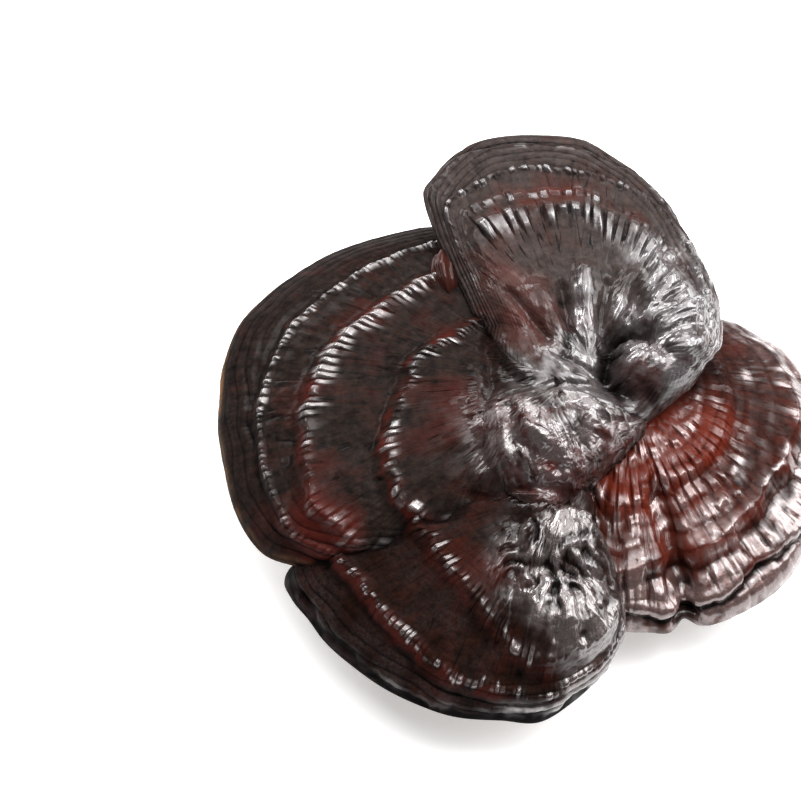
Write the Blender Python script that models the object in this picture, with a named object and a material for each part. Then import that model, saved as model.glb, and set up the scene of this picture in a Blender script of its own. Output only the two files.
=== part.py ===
# A reishi cluster: four lacquered caps grown out of one short stem that is cut off flat.
# Lengths are in millimetres and bearings in degrees from +X; MM turns them into metres.
import math

import bmesh
import bpy
import numpy as np
from mathutils import Matrix, Vector

MM = 0.001
GAP = 0.3  # parting between pieces that grew against each other
CREASE = math.radians(38.0)  # a fold sharper than this stays an edge
SPOKES = 46  # vertices round a cap
STEM_SPOKES = 34
EVEN_RINGS = (0.08, 0.18, 0.3, 0.42, 0.54, 0.66, 0.78, 0.88, 0.94, 0.98, 1.0)  # shares of a cap's radius
NEAR_LEDGE = 0.03  # an even ring this close to a ledge is left out
SCARP_ROOM = 0.7  # most of the room before the next ring that a ledge's scarp takes
RAMP = 9.0  # distance over which a ledge's back rises to its crest
BURIED = 24.0  # a rim nearer the hub than this lies inside the crown, and has no ledges
LIP_STEPS = 3  # steps round the rolled lip, from its edge to its underside
UNDERSIDE = (0.93, 0.75, 0.55, 0.35)  # rings of the underside, as shares of its radius
ROUGHNESS = 0.28
COAT = 0.5

# The short stem: its cut base, its waist, and the crumpled crown that the caps grow from.
# Each level is height, centre x, centre y, half width along x, half width along y.
STEM_COLOR = (0.06, 0.025, 0.02)
STEM_LEVELS = (
    (0.0, 0.0, 0.0, 29.0, 27.0),
    (3.0, 0.0, 0.0, 30.0, 28.5),
    (11.0, 0.0, -1.0, 27.0, 26.0),
    (20.0, 0.0, -2.0, 27.5, 26.5),
    (30.0, 1.0, -5.0, 29.0, 27.0),
    (44.0, 1.0, -11.0, 28.0, 25.0),
    (53.0, 2.0, -15.0, 28.0, 23.0),
    (60.0, 2.0, -17.0, 26.5, 21.0),
    (65.0, 2.0, -17.5, 23.0, 18.0),
    (68.0, 2.0, -17.5, 18.5, 14.5),
    (70.0, 2.0, -17.5, 13.5, 10.5),
    (70.8, 2.0, -17.5, 8.5, 6.5),
    (71.0, 2.0, -17.5, 4.0, 3.0),
)
CROWN_START = 48.0  # height at which the crown's lumps begin
CROWN_FADE = 14.0  # height over which they reach their full rise
STEM_LOBES = ((3, 0.035, 20.0), (5, 0.03, 75.0), (8, 0.018, 10.0))  # count, share of radius, phase
CROWN_LUMPS = (  # x, y, radius, rise
    (-14.0, -10.0, 7.0, 2.8),
    (-2.0, -7.0, 6.0, -2.4),
    (9.0, -9.0, 7.0, 3.0),
    (20.0, -14.0, 6.0, -1.8),
    (17.0, -24.0, 7.0, 2.2),
    (4.0, -19.0, 5.0, -2.8),
    (-7.0, -21.0, 6.0, 2.4),
    (-15.0, -24.0, 6.0, -2.2),
    (4.0, -30.0, 6.0, 1.8),
)

# A cap spreads from its hub. Its rim lists bearing and radius, and lies in a plane at
# rim_height that tilts by slope; its top stands dome above that plane at the hub, and
# fullness sets how bluntly it turns down at the rim. The lip is the height and width of the
# rolled margin, and the underside sags towards the stem. Each ledge is one season's growth:
# its crest runs at a share of the radius, bearing by bearing, and drops off in a scarp.
# Folds run from one point to another, with a rise and a width. Lumps have a middle, two
# radii, a turn and a rise. Both are measured from the hub.
CAPS = {
    "cap_back": {
        "color": (0.055, 0.032, 0.032),
        "hub": (8.5, 12.7),
        "rim_height": 58.0,
        "slope": (0.0, 0.0),
        "dome": 12.0,
        "fullness": (3.0, 0.55),
        "lip": (7.0, 8.0),
        "sag": 6.0,
        "rim": (
            (130, 81), (126, 94), (122, 98), (117, 102), (111, 105), (105, 105), (97, 103),
            (88, 100), (82, 94), (74, 87), (67, 80), (59, 71), (47, 63), (35, 57), (23, 52),
            (12, 47), (5, 41), (354, 36), (341, 31), (327, 28), (310, 26), (270, 22),
            (225, 22), (190, 26), (165, 34), (147, 46), (137, 62),
        ),
        "ledges": (
            {
                "rise": 3.2, "scarp": 4.5,
                "crest": (
                    (230, 0.60), (124, 0.66), (110, 0.60), (87, 0.615), (76, 0.64),
                    (62, 0.685), (50, 0.70), (10, 0.75),
                ),
            },
            {
                "rise": 2.4, "scarp": 3.0,
                "crest": (
                    (230, 0.84), (127, 0.85), (115, 0.80), (102, 0.79), (91, 0.775),
                    (84, 0.80), (72, 0.855), (64, 0.90), (52, 0.93), (37, 0.90),
                ),
            },
            {
                "rise": 1.3, "scarp": 2.0,
                "crest": (
                    (230, 0.96), (118, 0.965), (109, 0.93), (98, 0.91), (84, 0.91),
                    (71, 0.95), (50, 0.975),
                ),
            },
        ),
        "folds": (
            (0, 35, 1, 11, 3.0, 4.0), (17, 32, 7, 8, 2.6, 3.0), (29, 40, 19, 27, -3.0, 3.5),
            (19, 27, 10, 8, -3.0, 3.0), (-16, 27, -6, 3, 2.2, 3.5), (-11, 1, 7, -14, -2.5, 3.0),
        ),
        "lumps": ((2, 8, 20, 22, 0, -5.0), (17, -3, 8, 13, 15, -9.0), (29, 12, 9, 16, 10, 4.5)),
    },
    "cap_left": {
        "color": (0.048, 0.022, 0.016),
        "hub": (0.9, 4.5),
        "rim_height": 34.0,
        "slope": (0.02, 0.0),
        "dome": 29.0,
        "fullness": (2.1, 0.58),
        "lip": (7.0, 8.0),
        "sag": 6.0,
        "rim": (
            (117, 96), (124, 101), (130, 105), (138, 111), (146, 116), (153, 120), (159, 123),
            (166, 123), (174, 121), (180, 120), (188, 118), (195, 117), (201, 115), (205, 112),
            (209, 105), (213, 99), (216, 91), (221, 82), (225, 76), (229, 68), (236, 50),
            (252, 31), (315, 18), (0, 16), (45, 20), (75, 32), (95, 60), (107, 84),
        ),
        "ledges": (
            {
                "rise": 1.6, "scarp": 3.5,
                "crest": (
                    (60, 0.20), (163, 0.245), (180, 0.222), (201, 0.273), (212, 0.36), (222, 0.55),
                ),
            },
            {
                "rise": 2.8, "scarp": 4.0,
                "crest": (
                    (60, 0.38), (147, 0.36), (165, 0.414), (179, 0.444), (192, 0.51),
                    (207, 0.60), (224, 0.79),
                ),
            },
            {
                "rise": 3.4, "scarp": 4.0,
                "crest": (
                    (60, 0.62), (131, 0.61), (153, 0.606), (168, 0.67), (181, 0.726),
                    (197, 0.774), (209, 0.84), (217, 0.91),
                ),
            },
            {
                "rise": 2.2, "scarp": 3.0,
                "crest": (
                    (60, 0.82), (124, 0.80), (145, 0.78), (165, 0.816), (181, 0.872),
                    (201, 0.895), (209, 0.94), (230, 0.95),
                ),
            },
        ),
        "folds": ((-40, -2, -62, 8, -1.0, 4.0), (-30, -22, -58, -26, -1.0, 4.0)),
        "lumps": (),
    },
    "cap_front": {
        "color": (0.042, 0.016, 0.013),
        "hub": (0.0, -30.6),
        "rim_height": 26.0,
        "slope": (0.04, 0.0),
        "dome": 32.0,
        "fullness": (2.0, 0.62),
        "lip": (6.0, 7.0),
        "sag": 6.0,
        "rim": (
            (185, 73), (187, 90), (190, 96), (195, 95), (200, 92), (206, 90), (215, 86),
            (223, 83), (231, 80), (240, 77), (252, 72), (262, 70), (271, 63), (281, 55),
            (289, 47), (296, 40), (302, 33), (310, 24), (319, 18), (340, 14), (0, 13),
            (45, 12), (90, 12), (130, 16), (155, 26), (172, 46),
        ),
        "ledges": (
            {
                "rise": 2.8, "scarp": 4.0,
                "crest": (
                    (60, 0.60), (198, 0.52), (215, 0.538), (224, 0.563), (239, 0.641),
                    (252, 0.757), (274, 0.79), (284, 0.79),
                ),
            },
            {
                "rise": 2.6, "scarp": 3.5,
                "crest": (
                    (60, 0.82), (194, 0.795), (205, 0.795), (221, 0.827), (234, 0.87),
                    (250, 0.90), (284, 0.92),
                ),
            },
            {
                "rise": 1.6, "scarp": 2.0,
                "crest": ((60, 0.95), (193, 0.947), (222, 0.964), (244, 0.97), (284, 0.97)),
            },
        ),
        "folds": ((-18, -14, -24, -44, -2.0, 5.0), (-12, -26, 16, -26, -2.5, 4.5)),
        "lumps": ((-2, -16, 15, 9, 0, 4.0), (-3, -38, 15, 11, 0, 4.5)),
    },
    "cap_right": {
        "color": (0.09, 0.018, 0.014),
        "hub": (20.9, 18.2),
        "rim_height": 24.0,
        "slope": (0.0, 0.0),
        "dome": 27.0,
        "fullness": (2.0, 0.60),
        "lip": (6.0, 7.0),
        "sag": 6.0,
        "rim": (
            (41, 52), (33, 58), (25, 62), (18, 67), (3, 71), (350, 74), (338, 76), (324, 82),
            (316, 85), (310, 87), (303, 88), (296, 88), (290, 88), (287, 87), (284, 83),
            (280, 87), (275, 86), (269, 85), (262, 80), (254, 62), (240, 40), (215, 26),
            (180, 20), (135, 20), (90, 30), (60, 44),
        ),
        "ledges": (
            {
                "rise": 2.4, "scarp": 4.0,
                "crest": (
                    (328, 0.494), (312, 0.478), (288, 0.484), (274, 0.55), (264, 0.596), (90, 0.5),
                ),
            },
            {
                "rise": 2.6, "scarp": 4.0,
                "crest": (
                    (20, 0.84), (350, 0.84), (333, 0.79), (319, 0.736), (308, 0.727),
                    (297, 0.755), (279, 0.773), (265, 0.83),
                ),
            },
            {
                "rise": 2.4, "scarp": 2.5,
                "crest": (
                    (20, 0.95), (340, 0.95), (323, 0.93), (313, 0.90), (304, 0.883),
                    (295, 0.91), (285, 0.94), (270, 0.93),
                ),
            },
        ),
        "folds": ((10, -46, 21, -84, -4.0, 4.5),),
        "lumps": (),
    },
}
# The small rolled curl on the left edge of the back cap: middle, half lengths and turn.
CURL = {"at": (-37.0, 55.5, 52.0), "half": (4.6, 10.5, 6.0), "turn": 6.0}
GROOVE = 0.3  # depth of the groove at a scarp's foot, as a share of the ledge's rise
RIM_HOLD = 0.3  # share of the relief that reaches the edge of the rim


def smooth_step(x):
    x = np.clip(x, 0.0, 1.0)
    return x * x * (3 - 2 * x)


def around(table, bearing):
    """Smooth value at each bearing, from rows of bearing and value that close on themselves."""
    rows = sorted((row[0] % 360, row[1]) for row in table)
    b = np.array([row[0] for row in rows], float)
    v = np.array([row[1] for row in rows], float)
    b = np.concatenate([b[-2:] - 360, b, b[:2] + 360])
    v = np.concatenate([v[-2:], v, v[:2]])
    angle = np.mod(bearing, 360)
    i = np.clip(np.searchsorted(b, angle, side="right") - 1, 1, len(b) - 3)
    step = b[i + 1] - b[i]
    u = (angle - b[i]) / step
    before = (v[i + 1] - v[i - 1]) / (b[i + 1] - b[i - 1]) * step
    after = (v[i + 2] - v[i]) / (b[i + 2] - b[i]) * step
    return (
        (2 * u**3 - 3 * u**2 + 1) * v[i]
        + (u**3 - 2 * u**2 + u) * before
        + (3 * u**2 - 2 * u**3) * v[i + 1]
        + (u**3 - u**2) * after
    )


def spoke_bearings(rim):
    """Bearings that part the rim into equal lengths."""
    fine = np.linspace(0.0, 360.0, 721)
    radius = around(rim, fine)
    x = radius * np.cos(np.radians(fine))
    y = radius * np.sin(np.radians(fine))
    run = np.concatenate([[0.0], np.cumsum(np.hypot(np.diff(x), np.diff(y)))])
    return np.interp(np.arange(SPOKES) * run[-1] / SPOKES, run, fine)


def ring_shares(cap, bearing, radius):
    """Shares of the radius at which the top is ringed, spoke by spoke. The rings between the
    ledges bend with them, and each ledge has a ring on its crest and one at its foot."""
    crests = [around(ledge["crest"], bearing) for ledge in cap["ledges"]]
    scarps = {float(crest.mean()): ledge["scarp"] for crest, ledge in zip(crests, cap["ledges"])}
    knots = np.array([np.zeros_like(bearing), *crests, np.ones_like(bearing)])
    marks = [0.0, *scarps, 1.0]
    even = [mark for mark in EVEN_RINGS if min(abs(mark - crest) for crest in scarps) > NEAR_LEDGE]
    marked = sorted(even + list(scarps))
    rings = [np.array([np.interp(mark, marks, column) for column in knots.T]) for mark in marked]
    shares = []
    for mark, ring, beyond in zip(marked, rings, rings[1:] + [None]):
        shares.append(ring)
        if mark in scarps:
            shares.append(ring + np.minimum(scarps[mark] / radius, SCARP_ROOM * (beyond - ring)))
    return shares


def cap_grid(cap, bearing, radius):
    """Points of a plain cap ring by ring, from near its hub over the lip to its underside, and
    the number of rings on its top."""
    power, root = cap["fullness"]
    lip_height, lip_width = cap["lip"]
    lip_width = np.minimum(lip_width, 0.4 * radius)
    shares = ring_shares(cap, bearing, radius)
    rings = [(share * radius, cap["dome"] * (1 - share**power) ** root) for share in shares]
    for step in range(1, LIP_STEPS + 1):
        turn = 0.5 * math.pi * step / LIP_STEPS
        rings.append((radius - lip_width * (1 - math.cos(turn)), -lip_height * math.sin(turn)))
    for share in UNDERSIDE:
        rings.append((share * (radius - lip_width), -lip_height - cap["sag"] * (1 - share) ** 2))
    angle = np.radians(bearing)
    slope_x, slope_y = cap["slope"]
    points = []
    for reach, height in rings:
        x = reach * np.cos(angle)
        y = reach * np.sin(angle)
        z = cap["rim_height"] + slope_x * x + slope_y * y + height
        points.append(np.stack([x, y, z], axis=-1))
    return np.array(points), len(shares)


def outward(points):
    """Unit normals of a grid of rings."""
    along = np.gradient(points, axis=0)
    closed = np.concatenate([points[:, -1:], points, points[:, :1]], axis=1)
    normal = np.cross(along, closed[:, 2:] - closed[:, :-2])
    return normal / np.maximum(np.linalg.norm(normal, axis=-1, keepdims=True), 1e-9)


def ledge_rise(away, ledge):
    """Rise of a ledge at a distance beyond its crest: a long back, a scarp and a groove."""
    scarp = ledge["scarp"]
    back = np.exp(np.minimum(away, 0) / RAMP)
    front = 1 - smooth_step(away / scarp)
    groove = GROOVE * np.exp(-(((away - 1.1 * scarp) / (0.7 * scarp)) ** 2))
    return ledge["rise"] * (np.where(away < 0, back, front) - groove)


def relief(cap, points, radius, bearing):
    """Rise of the top along its normal: ledges, folds and lumps."""
    x, y = points[..., 0], points[..., 1]
    reach = np.hypot(x, y)
    rise = np.zeros(x.shape)
    grown = smooth_step((radius - BURIED) / BURIED)
    for ledge in cap["ledges"]:
        rise += grown * ledge_rise(reach - around(ledge["crest"], bearing) * radius, ledge)
    for x0, y0, x1, y1, height, width in cap["folds"]:
        run_x, run_y = x1 - x0, y1 - y0
        t = np.clip(((x - x0) * run_x + (y - y0) * run_y) / (run_x**2 + run_y**2), 0, 1)
        off = np.hypot(x - x0 - t * run_x, y - y0 - t * run_y)
        rise += height * np.exp(-((off / width) ** 2))
    for at_x, at_y, half_x, half_y, turn, height in cap["lumps"]:
        c, s = math.cos(math.radians(turn)), math.sin(math.radians(turn))
        u = ((x - at_x) * c + (y - at_y) * s) / half_x
        v = ((y - at_y) * c - (x - at_x) * s) / half_y
        rise += height * np.exp(-(u * u + v * v))
    return rise


def ringed_mesh(name, points, start, end):
    """Closed mesh through rings of points, with a point at each end."""
    mesh = bpy.data.meshes.new(name)
    count = points.shape[1]
    bm = bmesh.new()
    rings = [[bm.verts.new(point * MM) for point in ring] for ring in points]
    first = bm.verts.new(start * MM)
    last = bm.verts.new(end * MM)
    for k in range(count):
        j = (k + 1) % count
        bm.faces.new((first, rings[0][k], rings[0][j]))
        bm.faces.new((last, rings[-1][j], rings[-1][k]))
        for near, far in zip(rings[:-1], rings[1:]):
            bm.faces.new((near[k], far[k], far[j], near[j]))
    bmesh.ops.recalc_face_normals(bm, faces=bm.faces)
    bmesh.ops.triangulate(bm, faces=[face for face in bm.faces if len(face.verts) > 3])
    bm.to_mesh(mesh)
    bm.free()
    return mesh


def cap_mesh(name, cap):
    bearing = spoke_bearings(cap["rim"])
    radius = around(cap["rim"], bearing)
    points, top = cap_grid(cap, bearing, radius)
    rise = relief(cap, points, radius, bearing)
    rise[top - 1] *= RIM_HOLD
    rise[top:] = 0.0
    points += outward(points) * rise[..., None]
    hub = np.array([*cap["hub"], 0.0])
    start = points[0].mean(axis=0)
    start[2] = points[0][:, 2].max()
    return ringed_mesh(name, points + hub, start + hub, points[-1].mean(axis=0) + hub)


def crown_rise(x, y):
    """Rise of the crumpled crown at a place in plan."""
    return sum(
        height * np.exp(-(((x - at_x) ** 2 + (y - at_y) ** 2) / radius**2))
        for at_x, at_y, radius, height in CROWN_LUMPS
    )


def stem_mesh(name):
    turn = np.arange(STEM_SPOKES) * 2 * math.pi / STEM_SPOKES
    lobes = 1.0 + sum(
        share * np.sin(count * turn + math.radians(phase)) for count, share, phase in STEM_LOBES
    )
    points = []
    for height, at_x, at_y, half_x, half_y in STEM_LEVELS:
        x = at_x + half_x * lobes * np.cos(turn)
        y = at_y + half_y * lobes * np.sin(turn)
        z = height + smooth_step((height - CROWN_START) / CROWN_FADE) * crown_rise(x, y)
        points.append(np.stack([x, y, z], axis=-1))
    height, at_x, at_y = STEM_LEVELS[-1][:3]
    peak = np.array([at_x, at_y, height + crown_rise(at_x, at_y)])
    return ringed_mesh(name, np.array(points), np.zeros(3), peak)


def curl_mesh(name):
    mesh = bpy.data.meshes.new(name)
    bm = bmesh.new()
    bmesh.ops.create_icosphere(bm, subdivisions=2, radius=MM)
    shape = Matrix.Diagonal((*CURL["half"], 1.0))
    turn = Matrix.Rotation(math.radians(CURL["turn"]), 4, "Z")
    place = Matrix.Translation(Vector(CURL["at"]) * MM)
    bmesh.ops.transform(bm, matrix=place @ turn @ shape, verts=bm.verts)
    bm.to_mesh(mesh)
    bm.free()
    return mesh


def lacquer(name, color):
    material = bpy.data.materials.new(name)
    material.use_nodes = True
    material.diffuse_color = (*color, 1.0)
    shader = material.node_tree.nodes["Principled BSDF"]
    shader.inputs["Base Color"].default_value = (*color, 1.0)
    shader.inputs["Roughness"].default_value = ROUGHNESS
    shader.inputs["Metallic"].default_value = 0.0
    shader.inputs["Coat Weight"].default_value = COAT
    return material


def placed(name, mesh, material):
    mesh.materials.append(material)
    mesh.shade_smooth()
    mesh.set_sharp_from_angle(angle=CREASE)
    piece = bpy.data.objects.new(name, mesh)
    bpy.context.scene.collection.objects.link(piece)
    return piece


def helper(piece):
    piece.hide_render = True
    piece.display_type = "WIRE"
    return piece


def room_for(piece):
    """A cutter: the piece grown outwards by the parting gap."""
    mesh = piece.data.copy()
    for vertex, normal in zip(mesh.vertices, [v.normal.copy() for v in piece.data.vertices]):
        vertex.co += normal * GAP * MM
    cutter = bpy.data.objects.new(piece.name + "_room", mesh)
    bpy.context.scene.collection.objects.link(cutter)
    return helper(cutter)


def change(piece, other, operation):
    boolean = piece.modifiers.new(operation.lower() + " " + other.name, "BOOLEAN")
    boolean.operation = operation
    boolean.solver = "EXACT"
    boolean.object = other


def settle(piece):
    """Turns the piece's modifiers into its mesh, and keeps the largest body of it."""
    bpy.context.view_layer.update()
    graph = bpy.context.evaluated_depsgraph_get()
    mesh = bpy.data.meshes.new_from_object(piece.evaluated_get(graph))
    piece.modifiers.clear()
    bm = bmesh.new()
    bm.from_mesh(mesh)
    bodies = []
    unseen = set(bm.verts)
    while unseen:
        body = edge = {unseen.pop()}
        while edge:
            edge = {e.other_vert(v) for v in edge for e in v.link_edges} - body
            body = body | edge
        unseen -= body
        bodies.append(body)
    bodies.sort(key=len)
    bmesh.ops.delete(bm, geom=[v for body in bodies[:-1] for v in body], context="VERTS")
    bm.to_mesh(mesh)
    bm.free()
    piece.data = mesh


def main():
    for old in list(bpy.data.objects):
        bpy.data.objects.remove(old, do_unlink=True)
    stem = placed("stem", stem_mesh("stem"), lacquer("stem_lacquer", STEM_COLOR))
    above = [room_for(stem)]
    for name, cap in CAPS.items():  # from the topmost cap down: each gives way to those above it
        skin = lacquer(name + "_lacquer", cap["color"])
        piece = placed(name, cap_mesh(name, cap), skin)
        rooms = [room_for(piece)]
        if name == "cap_back":
            curl = helper(placed("curl", curl_mesh("curl"), skin))
            rooms.append(room_for(curl))
            change(piece, curl, "UNION")
        for cutter in above:
            change(piece, cutter, "DIFFERENCE")
        settle(piece)
        above += rooms


main()
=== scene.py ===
import math

import bpy
import numpy as np
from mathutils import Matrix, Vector
from mathutils.bvhtree import BVHTree


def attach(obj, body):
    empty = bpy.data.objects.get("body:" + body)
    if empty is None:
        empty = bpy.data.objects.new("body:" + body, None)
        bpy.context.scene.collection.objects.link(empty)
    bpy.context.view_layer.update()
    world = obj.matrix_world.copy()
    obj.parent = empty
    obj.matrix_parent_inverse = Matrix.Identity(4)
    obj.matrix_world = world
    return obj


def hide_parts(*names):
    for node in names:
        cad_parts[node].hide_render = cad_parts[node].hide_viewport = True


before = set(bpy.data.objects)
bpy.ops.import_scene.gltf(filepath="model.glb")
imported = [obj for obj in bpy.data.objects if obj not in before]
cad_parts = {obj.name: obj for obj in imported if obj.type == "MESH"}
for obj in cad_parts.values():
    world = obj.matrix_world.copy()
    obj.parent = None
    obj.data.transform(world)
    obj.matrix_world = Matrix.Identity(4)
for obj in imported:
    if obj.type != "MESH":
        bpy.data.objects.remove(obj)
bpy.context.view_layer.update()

mm = 0.001  # lengths below are in millimetres, bearings in degrees from +X


def smoothStep(x):
    x = np.clip(x, 0.0, 1.0)
    return x * x * (3 - 2 * x)


def hump(x):
    return np.exp(-np.square(x))


def joined(*parts):
    return np.stack(np.broadcast_arrays(*parts), axis=-1)


def eased(u, first, last, leaving, arriving):
    # cubic from first to last, with the slopes that it leaves and arrives with
    return (
        (2 * u**3 - 3 * u**2 + 1) * first + (u**3 - 2 * u**2 + u) * leaving
        + (3 * u**2 - 2 * u**3) * last + (u**3 - u**2) * arriving
    )


def around(table, bearing):
    # smooth value at each bearing, from rows of bearing and value that close on themselves
    rows = sorted((row[0] % 360, row[1]) for row in table)
    b = np.array([row[0] for row in rows], float)
    v = np.array([row[1] for row in rows], float)
    b = np.concatenate([b[-2:] - 360, b, b[:2] + 360])
    v = np.concatenate([v[-2:], v, v[:2]])
    angle = np.mod(bearing, 360)
    i = np.clip(np.searchsorted(b, angle, side="right") - 1, 1, len(b) - 3)
    step = b[i + 1] - b[i]
    leaving = (v[i + 1] - v[i - 1]) / (b[i + 1] - b[i - 1]) * step
    arriving = (v[i + 2] - v[i]) / (b[i + 2] - b[i]) * step
    return eased((angle - b[i]) / step, v[i], v[i + 1], leaving, arriving)


def between(table, bearing):
    # straight steps between rows, closed on themselves
    rows = sorted((row[0] % 360, row[1]) for row in table)
    return np.interp(bearing, [r[0] for r in rows], [r[1] for r in rows], period=360)


chance = np.random.default_rng(11)
gradients = chance.normal(size=(256, 3))
gradients /= np.linalg.norm(gradients, axis=1, keepdims=True)
shuffled = np.tile(chance.permutation(256), 2)


def waver(points):
    # smooth noise from about -1 to 1 with one cell to a unit
    cell = np.floor(points)
    local = points - cell
    cell = cell.astype(np.int64)
    fade = local**3 * (local * (local * 6 - 15) + 10)
    total = np.zeros(points.shape[:-1])
    for corner in np.ndindex(2, 2, 2):
        at = (cell + corner) & 255
        pick = shuffled[shuffled[shuffled[at[..., 0]] + at[..., 1]] + at[..., 2]]
        share = np.prod(np.where(corner, fade, 1 - fade), axis=-1)
        total += share * np.sum(gradients[pick] * (local - corner), axis=-1)
    return total * 1.6


def octaves(points, count, gain=0.5):
    return sum(gain**i * waver(points * 2.0**i + 17.3 * i) for i in range(count))


def pillows(points):
    # round bodies with sharp valleys between them, from about -0.8 to 1.2
    return 3.2 * np.abs(waver(points)) - 0.8


def spread(bearing, reach, spacing, length, shift=0.0):
    # noise cells round a hub: spacing apart along the arc at reach 70, and length long outwards
    turns = 70.0 / spacing
    angle = np.radians(bearing)
    return joined(turns * np.cos(angle) + shift, turns * np.sin(angle), reach / length + shift)


def blocks(turn, every, first):
    # blocks along an arc: how full each is, and its own strength, shift and length
    cell = turn / every
    index = np.floor(cell)
    full = 1 - smoothStep((np.abs(cell - index - 0.5) - 0.24) / 0.22)
    pick = index.astype(np.int64) + first
    strength, shift, length = [shuffled[(pick + skip) & 255] / 255.0 for skip in (0, 61, 122)]
    return full, strength, 2 * shift - 1, 0.4 + 1.1 * length


def outward(points):
    along = np.gradient(points, axis=0)
    closed = np.concatenate([points[:, -1:], points, points[:, :1]], axis=1)
    normal = np.cross(along, closed[:, 2:] - closed[:, :-2])
    return normal / np.maximum(np.linalg.norm(normal, axis=-1, keepdims=True), 1e-9)


def ringedFaces(rings, count):
    # faces through rings of points, with a point at each end
    k = np.arange(count)
    j = (k + 1) % count
    quads = [
        np.stack([i * count + k, i * count + count + k, i * count + count + j, i * count + j], axis=1)
        for i in range(rings - 1)
    ]
    first, last = rings * count, rings * count + 1
    base = (rings - 1) * count
    ends = [(first, int(a), int(b)) for a, b in zip(k, j)]
    ends += [(last, int(base + b), int(base + a)) for a, b in zip(k, j)]
    return np.concatenate(quads).tolist() + ends


def skinMesh(name, points, start, end, masks):
    # points are rings of places in millimetres; masks has nine values for each of them
    rings, count = points.shape[:2]
    flat = np.concatenate([points.reshape(-1, 3), [start, end]]) * mm
    mesh = bpy.data.meshes.new(name)
    mesh.from_pydata(flat.tolist(), [], ringedFaces(rings, count))
    values = masks.reshape(-1, 9)
    values = np.concatenate([values, masks[:1].mean(axis=1), masks[-1:].mean(axis=1)])
    for layer, part in (("crust", values[:, :3]), ("edge", values[:, 3:6]), ("growth", values[:, 6:])):
        color = np.concatenate([part, np.ones((len(part), 1))], axis=1)
        attribute = mesh.attributes.new(layer, "FLOAT_COLOR", "POINT")
        attribute.data.foreach_set("color", color.astype(np.float32).ravel())
    mesh.shade_smooth()
    mesh.validate()
    return mesh


# A cap spreads from its hub. Its rim lists bearing and radius, its ledges the share of the radius at
# which each crest runs. Spots are x, y, radius and strength, measured from the hub; folds run from
# x, y to x, y, with height and half width; lumps are x, y, two half widths, turn and height. What is
# listed with bearings fades from one to the next. "fullness" holds the two powers that shape the dome,
# and "lip" the height and width of the rounded edge. Nearer the hub than "calm" there are no ribs or
# wrinkles, and beyond "ringsFrom" of the radius the growth rings are plainest. "bloom" is grey dust,
# "ochre" the pale margin, "deep" a place of painted shade, and a "crisp" over 1 leaves only strong shine.
everyCap = {  # values that a cap has unless it gives its own
    "slope": (0.0, 0.0),
    "sag": 6.0,
    "rimRoll": 2.2,
    "crisp": 1.0,
    "knotShare": 1.0,
    "ribs": 0.0,
    "ledgesAt": ((150, 1.0), (330, 1.0)),
    "deep": (),
    "lumps": (),
    "crumples": (),
    "shineSpots": (),
    "greySpots": (),
}
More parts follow.
